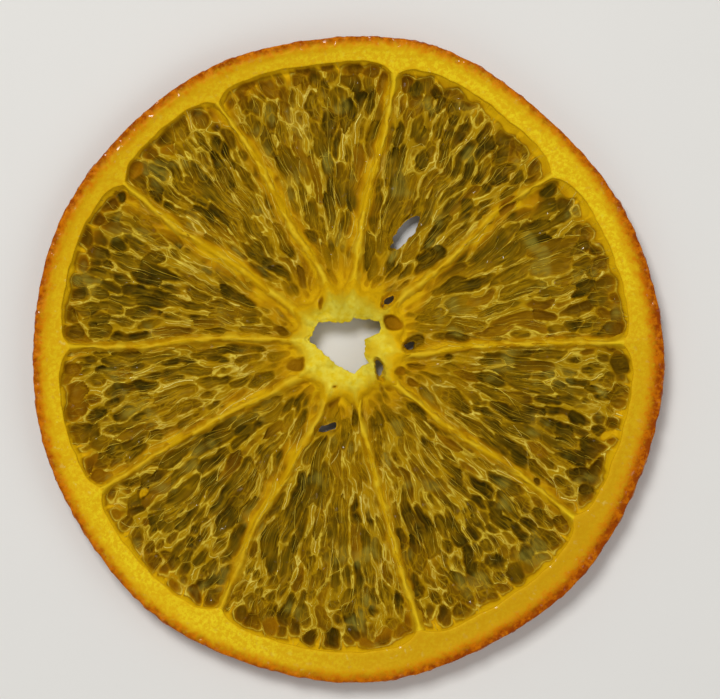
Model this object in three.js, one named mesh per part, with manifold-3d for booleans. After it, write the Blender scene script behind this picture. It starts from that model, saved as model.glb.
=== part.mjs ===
// A dried orange slice lying flat, cut across the fruit: a pitted peel round a band of pith,
// ten juice segments between thin walls, dried vesicles inside the segments, and a torn core.
// Millimetres, +Z up. The slice rests on z = 0 and its box is centred over the origin.
// Angles are in degrees, anticlockwise from +X, seen from above.
import * as THREE from "three";
import Module from "manifold-3d";

// The outline: a mean radius, and the waves that make it taller than wide and slightly angular.
const SLICE_RADIUS = 36.8;
const OUTLINE_WAVES = [
  { turns: 2, size: 0.45, peak: 98.8 },
  { turns: 3, size: 0.08, peak: -13 },
  { turns: 4, size: 0.13, peak: -8.4 },
  { turns: 5, size: 0.1, peak: 5.6 },
  { turns: 6, size: 0.08, peak: 16.7 },
  { turns: 7, size: 0.08, peak: 18.3 },
  { turns: 9, size: 0.14, peak: -5.5 },
];

// The peel: oil glands scallop its edge, and its rounded side meets two flat cut faces.
const PEEL_HEIGHT = 4.0;
const PEEL_STEPS = 200;
const GLAND_DEPTH = 0.16;
const EDGE_INSET = 0.6;
const PEEL_SIDE = [
  { inset: 0.14, height: 0.1 },
  { inset: 0, height: 0.46 },
  { inset: 0.12, height: 0.88 },
];

// The pith: a band that is thickest at the lower right, filleted into every segment wall.
const PITH_WIDTH = 3.4;
const PITH_SWING = 0.42;
const PITH_THICKEST_AT = 310;
const PITH_STEPS = 120;
const PITH_DIP = 0.15;
const PITH_DIP_AT = 0.62;
const PITH_LIP = { top: 3.5, bottom: 0.35 };
const FILLET_DEPTH = 1.2;
const FILLET_REACH = 0.9;

// The core: its middle lies above the slice's, and a torn hole opens in it.
const CORE = new THREE.Vector2(-0.15, 1.8);
const CORE_RADIUS = 6.3;
const CORE_SWING = 0.5;
const CORE_WIDEST_AT = 20;
const CORE_STEPS = 60;
const CORE_EDGE = { top: 3.0, bottom: 0.7 };
const CORE_CREST = { top: 3.3, bottom: 0.5 };
const CORE_CREST_INSET = 0.9;
const HOLE_LIP = { top: 2.7, bottom: 1.0 };
// The hole's torn corners, as the angle and the distance from the core's middle: a pointed left
// end, and a blunt tooth that juts in from the right.
const HOLE_CORNERS = [
  [-161, 2.95],
  [-106, 2.95],
  [-74, 3.55],
  [-40, 3.4],
  [-34, 2.75],
  [-2, 2.32],
  [14, 2.5],
  [18, 4.1],
  [34, 4.7],
  [73, 3.05],
  [80, 2.62],
  [141, 4.05],
  [174, 4.3],
];
const HOLE_EDGE_LENGTH = 0.6;
const HOLE_RAGGEDNESS = 0.09;

// The segment walls: the angle of each at four distances from the core's middle.
const WALL_RADII = [7.3, 14.6, 23, 31.4];
const WALL_ANGLES = [
  [-8.5, -1, 0.1, 0.2],
  [38.8, 38.8, 41.2, 38.8],
  [82, 82, 79.6, 79.5],
  [108, 115, 115.8, 118],
  [146.5, 144.6, 145.5, 144.2],
  [176.5, 177.3, 180.7, 180.6],
  [215, 211, 210.3, 210.9],
  [251, 246.5, 243.6, 244.7],
  [281.5, 282.6, 283.3, 284.3],
  [321.2, 320.4, 323.2, 322.7],
];
const SEGMENT_MIDDLE = 21;
const WALL_HALF_WIDTH = 0.28;
const WALL_ROOT_FLARE = 0.45;
const WALL_ROOT_REACH = 2.5;
const WALL_RIM_FLARE = 0.4;
const WALL_RIM_REACH = 1.5;
const WALL_STEPS = 12;
const WALL_CREST = { top: 3.2, bottom: 0.55 };
const WALL_SAG = 0.2;

// The vesicles: long cells that fan out from the core, with raised rims and sunken middles.
const VESICLE_WIDTH = 1.7;
const VESICLE_STRETCH = 2.5;
const VESICLE_TRIES = 2600;
const VESICLE_SIDE_LENGTH = 1.3;
const VESICLE_BORDER_ROOM = 0.3;
const VESICLE_RIM = { top: 2.6, bottom: 1.05 };
const VESICLE_RIM_JITTER = 0.1;
const VESICLE_SINK = { top: 0.55, bottom: 0.3 };
const VESICLE_SINK_JITTER = 0.25;
const RANDOM_SEED = 11;

// The tears that go right through: middle, length and width, and the direction of the length.
const TEARS = [
  { x: 6.75, y: 14.65, length: 4.6, width: 1.5, along: 52 },
  { x: 4.7, y: 6.6, length: 1.1, width: 0.6, along: 48 },
  { x: 7.3, y: 1.6, length: 1.5, width: 1.0, along: 25 },
  { x: 3.8, y: -1.1, length: 1.6, width: 0.8, along: 100 },
  { x: -2.2, y: -7.85, length: 1.9, width: 1.0, along: 15 },
];
const TEAR_SIDES = 9;
const TEAR_ROUGHNESS = 0.16;

const DRIED_ORANGE = new THREE.MeshStandardMaterial({
  color: 0xd6a018,
  roughness: 0.5,
  metalness: 0,
});

// Two places in the even plane of the cells that are nearer than this are one.
const SAME_PLACE = 1e-5;

const radians = THREE.MathUtils.degToRad;
const lerp = THREE.MathUtils.lerp;

// A repeatable source of numbers from 0 to 1.
function seededRandom(seed) {
  let state = seed;
  return () => {
    state = (state * 16807) % 2147483647;
    return state / 2147483647;
  };
}

// The outline's radius about the slice's middle, at an angle in radians.
function outlineRadius(angle) {
  const wave = ({ turns, size, peak }) => size * Math.cos(turns * (angle - radians(peak)));
  return OUTLINE_WAVES.reduce((radius, w) => radius + wave(w), SLICE_RADIUS);
}

function pithWidth(angle) {
  return PITH_WIDTH + PITH_SWING * Math.cos(angle - radians(PITH_THICKEST_AT));
}

// How far it is from the core's middle, in one direction, to the pith's inner edge.
function reachToPith(direction) {
  const point = new THREE.Vector2();
  let reach = SLICE_RADIUS;
  for (let pass = 0; pass < 8; pass += 1) {
    point.set(Math.cos(direction), Math.sin(direction)).multiplyScalar(reach).add(CORE);
    const angle = point.angle();
    reach += outlineRadius(angle) - pithWidth(angle) - point.length();
  }
  return reach;
}

function coreRadius(direction) {
  return CORE_RADIUS + CORE_SWING * Math.cos(direction - radians(CORE_WIDEST_AT));
}

// The direction of a wall, in radians, at a distance from the core's middle. It is part eased, so
// that the wall bends softly at each of the named distances.
function wallDirection(wall, distance) {
  const turns = Math.floor(wall / WALL_ANGLES.length);
  const angles = WALL_ANGLES[wall - turns * WALL_ANGLES.length];
  const inside = THREE.MathUtils.clamp(distance, WALL_RADII[0], WALL_RADII[3]);
  const next = Math.max(1, WALL_RADII.findIndex((r) => r >= inside));
  const share = (inside - WALL_RADII[next - 1]) / (WALL_RADII[next] - WALL_RADII[next - 1]);
  const eased = THREE.MathUtils.smoothstep(share, 0, 1);
  return radians(lerp(angles[next - 1], angles[next], lerp(share, eased, 0.5)) + 360 * turns);
}

function wallHalfWidth(distance, pithReach) {
  const root = WALL_ROOT_FLARE * Math.exp(-(distance - CORE_RADIUS) / WALL_ROOT_REACH);
  const rim = WALL_RIM_FLARE * Math.exp(-(pithReach - distance) / WALL_RIM_REACH);
  return WALL_HALF_WIDTH + root + rim;
}

// The plan of the slice: shared points, each with a height on both faces, and its triangles.
const plan = { points: [], triangles: [] };

function addPoint(x, y, top, bottom) {
  plan.points.push({ x, y, top, bottom });
  return plan.points.length - 1;
}

// Adds a triangle of the plan, turned so that it runs anticlockwise seen from above.
function addTriangle(a, b, c) {
  const [p, q, r] = [a, b, c].map((i) => plan.points[i]);
  const turn = (q.x - p.x) * (r.y - p.y) - (q.y - p.y) * (r.x - p.x);
  plan.triangles.push(turn > 0 ? [a, b, c] : [a, c, b]);
}

// Fills the strip between two rows of points. Each entry is { point, at }, and at rises along a row.
function stitch(rowA, rowB) {
  let a = 0;
  let b = 0;
  while (a < rowA.length - 1 || b < rowB.length - 1) {
    const nextA = a < rowA.length - 1 ? rowA[a + 1].at : Infinity;
    const nextB = b < rowB.length - 1 ? rowB[b + 1].at : Infinity;
    if (nextA <= nextB) {
      addTriangle(rowA[a].point, rowA[a + 1].point, rowB[b].point);
      a += 1;
    } else {
      addTriangle(rowA[a].point, rowB[b + 1].point, rowB[b].point);
      b += 1;
    }
  }
}

// The angle of a plan point about the core's middle, from start and up to a turn beyond it.
function angleAfter(start, index) {
  const { x, y } = plan.points[index];
  const angle = Math.atan2(y - CORE.y, x - CORE.x);
  return start + THREE.MathUtils.euclideanModulo(angle - start + 1e-6, 2 * Math.PI) - 1e-6;
}

// Fills the band between two closed rings that run anticlockwise round the core.
function stitchRings(inner, outer) {
  const start = angleAfter(-Math.PI, inner[0]);
  const nearest = outer.reduce((best, _, i) =>
    angleAfter(start, outer[i]) < angleAfter(start, outer[best]) ? i : best, 0);
  const turned = [...outer.slice(nearest), ...outer.slice(0, nearest)];
  const row = (ring) => {
    const entries = ring.map((point) => ({ point, at: angleAfter(start, point) }));
    return [...entries, { point: ring[0], at: entries[0].at + 2 * Math.PI }];
  };
  stitch(row(inner), row(turned));
}

// A ring round the slice's middle, inset from the outline by a share of the pith and a fixed part.
function ringInset(steps, inset, pithShare, top, bottom) {
  return Array.from({ length: steps }, (_, i) => {
    const angle = (2 * Math.PI * i) / steps;
    const radius = outlineRadius(angle) - inset - pithShare * pithWidth(angle);
    return addPoint(radius * Math.cos(angle), radius * Math.sin(angle), top, bottom);
  });
}

// Cuts a convex polygon back to the side of a line that is nearer to seed than to other.
function nearerPart(polygon, seed, other) {
  const beyond = (p) =>
    (p[0] - (seed[0] + other[0]) / 2) * (other[0] - seed[0]) +
    (p[1] - (seed[1] + other[1]) / 2) * (other[1] - seed[1]);
  const kept = [];
  polygon.forEach((p, i) => {
    const q = polygon[(i + 1) % polygon.length];
    const [dp, dq] = [beyond(p), beyond(q)];
    if (dp <= 0) kept.push(p);
    if (dp * dq < 0) {
      const share = dp / (dp - dq);
      kept.push([lerp(p[0], q[0], share), lerp(p[1], q[1], share)]);
    }
  });
  return kept;
}

// Vesicle middles in one segment, scattered at random but never closer than a vesicle's width.
// Across and along run evenly in angle and in the logarithm of distance, so that cells of one
// shape and one size in millimetres only have to be spaced by their width over the distance.
function scatterVesicles(across, along, distanceAt, random) {
  const seeds = [];
  for (let attempt = 0; attempt < VESICLE_TRIES; attempt += 1) {
    const spot = [random() * across, random() * along];
    const spacing = VESICLE_WIDTH / distanceAt(spot[1]);
    const room = Math.min(spot[0], across - spot[0], spot[1], along - spot[1]);
    const clear = seeds.every((s) => Math.hypot(s[0] - spot[0], s[1] - spot[1]) > spacing);
    if (clear && room > spacing * VESICLE_BORDER_ROOM) seeds.push(spot);
  }
  return seeds;
}

// Splits the sides of a cell that lie along the segment's own border into short pieces, so that
// what is stitched to them can follow a curve.
function splitBorderSides(polygon, across, along, place) {
  const onBorder = (p, q) =>
    [[0, 0], [0, across], [1, 0], [1, along]].some(([axis, edge]) =>
      Math.abs(p[axis] - edge) < SAME_PLACE && Math.abs(q[axis] - edge) < SAME_PLACE);
  return polygon.flatMap((p, i) => {
    const q = polygon[(i + 1) % polygon.length];
    if (!onBorder(p, q)) return [p];
    const [a, b] = [place(...p), place(...q)];
    const pieces = Math.ceil(Math.hypot(b[0] - a[0], b[1] - a[1]) / VESICLE_SIDE_LENGTH);
    return Array.from({ length: Math.max(1, pieces) }, (_, k) =>
      [lerp(p[0], q[0], k / pieces), lerp(p[1], q[1], k / pieces)]);
  });
}

// One juice segment between a wall and the next: vesicles that share rims and sink in the middle.
// Returns the rows of points along its four sides.
function addSegment(wall, random) {
  const from = wallDirection(wall, SEGMENT_MIDDLE);
  const to = wallDirection(wall + 1, SEGMENT_MIDDLE);
  const middle = (from + to) / 2;
  const across = to - from;
  const [inner, outer] = [coreRadius(middle), reachToPith(middle)];
  const along = Math.log(outer / inner) / VESICLE_STRETCH;

  // From the even plane of the cells to the slice's own plane.
  const place = (u, v) => {
    const share = u / across;
    const out = lerp(wallDirection(wall, outer), wallDirection(wall + 1, outer), share);
    const pith = reachToPith(out);
    const chord = across * outer;
    const corner =
      Math.exp((-share * chord) / FILLET_REACH) + Math.exp((-(1 - share) * chord) / FILLET_REACH);
    const near = coreRadius(out);
    const distance = near * Math.pow((pith - FILLET_DEPTH * corner) / near, v / along);
    const half = wallHalfWidth(distance, pith) / distance;
    const first = wallDirection(wall, distance) + half;
    const last = wallDirection(wall + 1, distance) - half;
    const direction = lerp(first, last, share);
    return [CORE.x + distance * Math.cos(direction), CORE.y + distance * Math.sin(direction)];
  };

  const corners = [];
  const cornerAt = (u, v) => {
    const known = corners.find((c) => Math.hypot(c.u - u, c.v - v) < SAME_PLACE);
    if (known) return known.point;
    const lift = (random() - 0.5) * 2 * VESICLE_RIM_JITTER;
    const point = addPoint(...place(u, v), VESICLE_RIM.top + lift, VESICLE_RIM.bottom - lift);
    corners.push({ point, u, v });
    return point;
  };

  const frame = [[0, 0], [across, 0], [across, along], [0, along]];
  const distanceAt = (v) => inner * Math.pow(outer / inner, v / along);
  const seeds = scatterVesicles(across, along, distanceAt, random);
  for (const seed of seeds) {
    const others = seeds.filter((other) => other !== seed);
    const whole = others.reduce((polygon, other) => nearerPart(polygon, seed, other), frame);
    const cell = splitBorderSides(whole, across, along, place);
    const rim = [...new Set(cell.map(([u, v]) => cornerAt(u, v)))];
    const centre = [0, 1].map((i) => whole.reduce((sum, p) => sum + p[i], 0) / whole.length);
    const depth = 1 + (random() - 0.5) * 2 * VESICLE_SINK_JITTER;
    const top = VESICLE_RIM.top - depth * VESICLE_SINK.top;
    const bottom = VESICLE_RIM.bottom + depth * VESICLE_SINK.bottom;
    const floor = addPoint(...place(...centre), top, bottom);
    rim.forEach((corner, i) => addTriangle(floor, corner, rim[(i + 1) % rim.length]));
  }

  const side = (axis, edge, order) =>
    corners
      .filter((c) => Math.abs(c[axis] - edge) < SAME_PLACE)
      .sort((c, d) => c[order] - d[order])
      .map((c) => c.point);
  return {
    first: side("u", 0, "v"),
    last: side("u", across, "v"),
    core: side("v", 0, "u"),
    pith: side("v", along, "u"),
  };
}

function distanceOf(index) {
  const { x, y } = plan.points[index];
  return Math.hypot(x - CORE.x, y - CORE.y);
}

// The ridge of one wall, between the last side of one segment and the first side of the next.
function addWall(wall, before, after) {
  const near = (distanceOf(before[0]) + distanceOf(after[0])) / 2;
  const far = (distanceOf(before.at(-1)) + distanceOf(after.at(-1))) / 2;
  const crest = Array.from({ length: WALL_STEPS + 1 }, (_, i) => {
    const share = i / WALL_STEPS;
    const distance = lerp(near, far, share);
    const direction = wallDirection(wall, distance);
    const sag = WALL_SAG * Math.sin(Math.PI * share);
    const [top, bottom] = [WALL_CREST.top - sag, WALL_CREST.bottom + sag];
    return addPoint(
      CORE.x + distance * Math.cos(direction), CORE.y + distance * Math.sin(direction), top, bottom,
    );
  });
  const row = (points) => points.map((point) => ({ point, at: distanceOf(point) }));
  stitch(row(before), row(crest));
  stitch(row(crest), row(after));
  return crest;
}

// The core: from the segments' inner ends over a low crest to the torn lip of the hole.
function addCore(innerEdge, random) {
  const corners = HOLE_CORNERS.map(([angle, distance]) =>
    new THREE.Vector2(distance, 0).rotateAround(new THREE.Vector2(), radians(angle)));
  const lip = corners.flatMap((corner, i) => {
    const side = corners[(i + 1) % corners.length].clone().sub(corner);
    const pieces = Math.ceil(side.length() / HOLE_EDGE_LENGTH);
    return Array.from({ length: pieces }, (_, k) => {
      const ragged = k === 0 ? 1 : 1 + random() * HOLE_RAGGEDNESS;
      const point = corner.clone().addScaledVector(side, k / pieces).multiplyScalar(ragged);
      return addPoint(CORE.x + point.x, CORE.y + point.y, HOLE_LIP.top, HOLE_LIP.bottom);
    });
  });
  const crest = Array.from({ length: CORE_STEPS }, (_, i) => {
    const direction = -Math.PI + (2 * Math.PI * i) / CORE_STEPS;
    const distance = coreRadius(direction) - CORE_CREST_INSET;
    const [x, y] = [CORE.x + distance * Math.cos(direction), CORE.y + distance * Math.sin(direction)];
    return addPoint(x, y, CORE_CREST.top, CORE_CREST.bottom);
  });
  stitchRings(lip, crest);
  stitchRings(crest, innerEdge);
  return lip;
}

// The pith and the cut faces of the peel, out to the edge where the peel's side begins.
function addPith(innerEdge) {
  const dip = ringInset(PITH_STEPS, 0, PITH_DIP_AT, PEEL_HEIGHT - PITH_DIP, 0);
  const edge = ringInset(PEEL_STEPS, EDGE_INSET, 0, PEEL_HEIGHT, 0);
  stitchRings(innerEdge, dip);
  stitchRings(dip, edge);
  return edge;
}

// Both faces of the plan as one closed skin, with the hole's wall and the peel's pitted side.
function sliceGeometry() {
  const random = seededRandom(RANDOM_SEED);
  const walls = WALL_ANGLES.map((_, wall) => wall);
  const segments = walls.map((wall) => addSegment(wall, random));
  const crests = walls.map((wall) =>
    addWall(wall, segments.at(wall - 1).last, segments[wall].first));
  const coreEdge = segments.flatMap((segment, k) => [crests[k][0], ...segment.core]);
  const pithEdge = segments.flatMap((segment, k) => [crests[k].at(-1), ...segment.pith]);
  coreEdge.forEach((point) => Object.assign(plan.points[point], CORE_EDGE));
  pithEdge.forEach((point) => Object.assign(plan.points[point], PITH_LIP));
  const lip = addCore(coreEdge, random);
  const edge = addPith(pithEdge);

  const count = plan.points.length;
  const vertices = [
    ...plan.points.flatMap(({ x, y, top }) => [x, y, top]),
    ...plan.points.flatMap(({ x, y, bottom }) => [x, y, bottom]),
  ];
  const faces = plan.triangles.flatMap(([a, b, c]) => [a, b, c, a + count, c + count, b + count]);
  const wallBetween = (low, high) => {
    low.forEach((a, i) => {
      const [b, c, d] = [low[(i + 1) % low.length], high[(i + 1) % high.length], high[i]];
      faces.push(a, b, c, a, c, d);
    });
  };

  const sideRings = PEEL_SIDE.map(({ inset, height }) =>
    Array.from({ length: PEEL_STEPS }, (_, i) => {
      const angle = (2 * Math.PI * i) / PEEL_STEPS;
      const gland = GLAND_DEPTH * (i % 2) * (0.5 + random());
      const radius = outlineRadius(angle) - inset - gland;
      vertices.push(radius * Math.cos(angle), radius * Math.sin(angle), PEEL_HEIGHT * height);
      return vertices.length / 3 - 1;
    }));
  const rings = [edge.map((point) => point + count), ...sideRings, edge];
  rings.slice(1).forEach((ring, i) => wallBetween(rings[i], ring));
  const holeWall = [...lip].reverse();
  wallBetween(holeWall.map((point) => point + count), holeWall);

  const geometry = new THREE.BufferGeometry();
  geometry.setAttribute("position", new THREE.Float32BufferAttribute(vertices, 3));
  geometry.setIndex(faces);
  return geometry;
}

// A ragged upright prism, longer than wide, that is cut out to make a tear.
function tearGeometry({ x, y, length, width, along }, random) {
  const shape = new THREE.Shape();
  for (let i = 0; i < TEAR_SIDES; i += 1) {
    const angle = (2 * Math.PI * i) / TEAR_SIDES;
    const ragged = 1 + (random() - 0.5) * 2 * TEAR_ROUGHNESS;
    const corner = [(Math.cos(angle) * length * ragged) / 2, (Math.sin(angle) * width * ragged) / 2];
    if (i === 0) shape.moveTo(...corner);
    else shape.lineTo(...corner);
  }
  const prism = new THREE.ExtrudeGeometry(shape, { depth: PEEL_HEIGHT * 2, bevelEnabled: false });
  return prism.rotateZ(radians(along)).translate(x, y, -PEEL_HEIGHT / 2);
}

const wasm = await Module();
wasm.setup();

// A closed geometry as a solid, with the vertices that share a place merged.
function solidOf(geometry) {
  const position = geometry.getAttribute("position");
  const order = geometry.index ? [...geometry.index.array] : [...Array(position.count).keys()];
  const places = new Map();
  const vertices = [];
  const merged = order.map((i) => {
    const p = [position.getX(i), position.getY(i), position.getZ(i)];
    const key = p.map((value) => Math.round(value * 1e4)).join(" ");
    if (!places.has(key)) {
      places.set(key, vertices.length / 3);
      vertices.push(...p);
    }
    return places.get(key);
  });
  const faces = [];
  for (let i = 0; i < merged.length; i += 3) {
    const [a, b, c] = merged.slice(i, i + 3);
    if (a !== b && b !== c && c !== a) faces.push(a, b, c);
  }
  return new wasm.Manifold(new wasm.Mesh({
    numProp: 3,
    vertProperties: new Float32Array(vertices),
    triVerts: new Uint32Array(faces),
  }));
}

function geometryOf(solid) {
  const { numProp, vertProperties, triVerts, numVert } = solid.getMesh();
  const geometry = new THREE.BufferGeometry();
  const places = new Float32Array(numVert * 3);
  for (let i = 0; i < numVert; i += 1) {
    places.set(vertProperties.subarray(i * numProp, i * numProp + 3), i * 3);
  }
  geometry.setAttribute("position", new THREE.BufferAttribute(places, 3));
  geometry.setIndex(new THREE.BufferAttribute(triVerts, 1));
  return geometry;
}

// The whole slice with its tears cut through it, centred over the origin.
function driedOrangeSlice() {
  const random = seededRandom(RANDOM_SEED + 1);
  const whole = solidOf(sliceGeometry());
  const torn = TEARS.reduce((slice, tear) =>
    slice.subtract(solidOf(tearGeometry(tear, random))), whole);
  const geometry = geometryOf(torn);
  geometry.computeBoundingBox();
  const middle = geometry.boundingBox.getCenter(new THREE.Vector3());
  geometry.translate(-middle.x, -middle.y, 0);
  geometry.computeVertexNormals();
  const slice = new THREE.Mesh(geometry, DRIED_ORANGE);
  slice.name = "orange_slice";
  return slice;
}

const part = new THREE.Group();
part.add(driedOrangeSlice());

export default part;
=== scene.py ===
"""Looks for a dried orange slice, laid out as a Blender add-on and run as a script.

Shapes are worked out in millimetres in plan, about the slice's own origin, and scaled to metres
when a mesh is made. Angles run anticlockwise from +X, seen from above.
"""

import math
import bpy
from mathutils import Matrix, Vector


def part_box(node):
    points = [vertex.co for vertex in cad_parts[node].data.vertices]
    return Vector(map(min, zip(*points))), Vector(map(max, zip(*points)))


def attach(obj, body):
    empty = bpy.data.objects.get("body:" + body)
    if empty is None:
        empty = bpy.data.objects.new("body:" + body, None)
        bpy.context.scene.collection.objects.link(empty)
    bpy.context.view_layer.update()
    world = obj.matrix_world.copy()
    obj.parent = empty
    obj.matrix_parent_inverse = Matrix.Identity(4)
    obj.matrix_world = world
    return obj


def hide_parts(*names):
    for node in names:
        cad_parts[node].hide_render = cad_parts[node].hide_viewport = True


bl_info = {
    "name": "Dried Orange Slice",
    "version": (1, 0, 0),
    "blender": (4, 5, 0),
    "location": "3D View > Sidebar > Orange Slice",
    "description": "Models a dried orange slice: peel, pith, segment walls, vesicles and threads",
    "category": "Object",
}

from types import SimpleNamespace

import bpy
import numpy as np
from mathutils import Vector

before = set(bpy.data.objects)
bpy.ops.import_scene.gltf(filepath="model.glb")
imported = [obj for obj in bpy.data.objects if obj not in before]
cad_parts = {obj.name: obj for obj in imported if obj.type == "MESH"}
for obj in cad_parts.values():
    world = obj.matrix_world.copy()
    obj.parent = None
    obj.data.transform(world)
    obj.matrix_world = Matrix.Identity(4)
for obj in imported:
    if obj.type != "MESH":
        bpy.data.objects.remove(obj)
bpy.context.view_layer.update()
SLICE_LOW, SLICE_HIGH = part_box("orange_slice")

MM = 0.001
TURN = 2 * math.pi
HEIGHT = (SLICE_HIGH.z - SLICE_LOW.z) / MM

# The outline: a mean radius, and waves as the number of turns, the size and where it peaks.
SLICE_RADIUS = 36.8
OUTLINE_WAVES = (
    (2, 0.45, 98.8),
    (3, 0.08, -13),
    (4, 0.13, -8.4),
    (5, 0.10, 5.6),
    (6, 0.08, 16.7),
    (7, 0.08, 18.3),
    (9, 0.14, -5.5),
)

# The pith band, its fillets into the walls and its scalloped inner edge.
PITH_WIDTH = 3.4
PITH_SWING = 0.42
PITH_THICKEST_AT = 310

FILLET_DEPTH = 1.3
FILLET_REACH = 0.95
FILLET_TIP = 0.35
SCALLOP_DEPTH = 0.16

# Where round the slice the peel is brownest and the pith darkest and most orange, and how much.
BROWN_PEEL = ((335, 1.0), (150, 0.35))
ORANGE_PITH = ((312, 1.0), (135, 0.5))

# The smooth film that slopes down from the pith to the first vesicles, and where it is widest.
RIM_FILM = 0.42
RIM_FILM_MORE = 0.8
RIM_FILM_WIDEST_AT = 44

# The core's middle, its radius and its torn hole, as angles and distances.
CORE = (-0.15, 1.8)
CORE_RADIUS = 6.3
CORE_SWING = 0.5
CORE_WIDEST_AT = 20
HOLE_CORNERS = (
    (-161, 2.85),
    (-106, 2.85),
    (-74, 3.5),
    (-40, 3.4),
    (-34, 2.65),
    (-2, 2.2),
    (14, 2.45),
    (18, 4.1),
    (34, 4.7),
    (73, 3.05),
    (80, 2.5),
    (141, 3.95),
    (174, 4.3),
)

# The golden tooth on the hole's right side: its middle and its size.
TOOTH = (2.55, 1.05, 1.2)

# The segment walls: the angle of each at four distances from the core's middle.
WALL_RADII = (7.3, 14.6, 23.0, 31.4)
WALL_ANGLES = np.array((
    (-8.5, -1, 0.1, 0.2),
    (38.8, 38.8, 41.2, 38.8),
    (82, 82, 79.6, 79.5),
    (108, 115, 115.8, 118),
    (146.5, 144.6, 145.5, 144.2),
    (176.5, 177.3, 180.7, 180.6),
    (215, 211, 210.3, 210.9),
    (251, 246.5, 243.6, 244.7),
    (281.5, 282.6, 283.3, 284.3),
    (321.2, 320.4, 323.2, 322.7),
))
WALLS = len(WALL_ANGLES)

# How far each wall's amber web spreads over the pulp before it and after it.
WALL_WEBS = (
    (0.5, 0.9),
    (1.5, 0.6),
    (0.7, 1.3),
    (1.1, 1.1),
    (0.9, 1.5),
    (0.5, 0.6),
    (1.3, 0.5),
    (1.5, 0.5),
    (0.6, 0.7),
    (0.7, 0.9),
)

# How faint the crest of each wall is.
WALL_FAINT = (0.1, 0.3, 0.0, 0.0, 0.0, 0.4, 0.4, 0.5, 0.0, 0.0)

# On the upper face and the lower one: the height of the pulp's floor over the underside, how far the
# relief rises from it and the height of the hole's lip. At a tear both faces thin to MIDDLE_AT.
FLOOR_AT = (2.05, 1.4)
RISE_SCALE = (1.0, -0.72)
LIP_AT = (3.03, 0.85)
MIDDLE_AT = 1.75

# How high the parts of the relief rise over the floor, and how far vesicles and sheets sink.
RIDGE_RISE = 0.3
WALL_RISE = 0.5
WEB_RISE = 0.42
PITH_RISE = 0.3
LOBE_RISE = 0.85
FILM_RISE = 1.1
CORNER_RISE = 1.3
CORE_RISE = 1.12
HOLLOW_SINK = 0.22
SAG = 0.12

# Tears that go right through: middle, length, width and the direction of the length.
TEARS = (
    (6.75, 14.65, 4.7, 1.75, 52),
    (4.75, 6.65, 1.35, 0.75, 48),
    (7.3, 1.6, 1.2, 0.8, 25),
    (3.8, -1.1, 1.7, 0.95, 100),
    (-2.2, -7.85, 1.9, 0.95, 15),
)

# Clear pockets in the film: middle, length, width, direction of the length and share of amber.
POCKETS = (
    (5.4, 4.27, 2.6, 2.1, -58, 1.0),
    (7.9, 2.1, 2.9, 2.0, 25, 0.1),
    (6.15, -1.3, 1.4, 1.3, 0, 1.0),
    (7.4, -2.6, 1.9, 1.1, -35, 0.8),
    (-5.7, -0.6, 2.4, 1.6, 20, 0.8),
    (-1.38, -3.05, 0.62, 0.5, 30, 0.3),
    (-7.4, 3.25, 2.8, 1.3, -20, 0.5),
    (-2.9, 6.5, 1.9, 0.6, 80, 1.0),
    (0.95, -6.6, 3.8, 0.9, 93, 0.0),
    (-1.55, -5.1, 2.0, 1.0, 35, 0.7),
    (4.0, -3.4, 1.4, 0.6, 100, 0.9),
    (7.8, -5.7, 3.0, 1.3, -38, 0.0),
    (11.9, 0.35, 1.6, 1.0, 0, 0.0),
    (23.2, 19.4, 2.5, 1.6, 40, 0.0),
    (13.9, 17.7, 2.2, 1.9, 30, 0.0),
    (31.4, -0.6, 2.8, 2.4, 110, 0.1),
    (19.8, -11.2, 3.0, 1.6, -45, 0.0),
    (27.6, -15.0, 2.0, 1.8, 0, 0.1),
    (21.9, -14.2, 1.2, 1.0, 0, 0.3),
    (-24.3, 21.8, 2.8, 1.5, 60, 1.0),
    (-26.0, 18.6, 1.9, 1.4, 110, 0.0),
    (-13.6, 25.4, 3.0, 1.3, -60, 0.2),
    (-11.6, 31.4, 2.5, 1.1, 25, 0.9),
    (-5.1, 33.4, 1.9, 1.8, 0, 0.8),
    (-2.3, 33.7, 2.0, 1.5, 0, 0.7),
    (0.8, 33.4, 2.2, 1.6, 0, 0.5),
    (-9.7, 11.4, 3.4, 1.4, -25, 0.0),
    (-4.05, 14.1, 2.4, 1.3, -40, 0.1),
    (8.7, 22.9, 2.6, 1.7, 75, 0.0),
    (8.0, 31.1, 2.4, 1.8, 90, 0.0),
    (18.6, 17.8, 3.4, 1.5, 45, 0.8),
    (9.3, 11.9, 3.0, 1.8, 20, 0.0),
    (-23.7, 7.7, 3.2, 0.9, 0, 0.0),
    (-31.2, 3.1, 2.3, 2.1, 90, 0.2),
    (-31.7, -1.1, 2.2, 2.0, 0, 0.7),
    (-29.7, -0.15, 2.8, 0.9, -20, 0.1),
    (-23.9, -6.6, 2.6, 1.2, 20, 0.0),
    (-12.0, -8.2, 3.0, 1.4, 20, 0.0),
    (-14.9, 0.0, 3.2, 1.0, -10, 0.0),
    (-28.6, -13.5, 2.3, 1.8, 30, 0.8),
    (26.0, -4.6, 2.6, 0.9, -25, 0.0),
    (19.5, 24.6, 2.2, 1.4, -40, 0.4),
)

# Milky flaps of loose film, and lobes that grow in from the pith, each like a pocket's shape.
FLAPS = (
    (12.4, 3.2, 2.1, 1.1, -10),
    (5.2, 12.0, 2.0, 1.3, 50),
    (-2.2, 22.9, 2.6, 1.6, 80),
    (-8.9, 28.4, 2.8, 1.4, 110),
    (4.4, -11.6, 3.2, 1.2, 100),
    (29.2, -3.4, 2.0, 1.2, 120),
    (-12.6, 12.2, 2.4, 1.1, -40),
)
LOBES = (
    (30.6, -8.8, 3.4, 1.0, 5),
    (-23.3, -15.4, 2.0, 0.8, 60),
    (20.2, 26.2, 2.4, 0.9, 40),
    (5.6, 32.2, 2.6, 0.9, 85),
)

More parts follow.
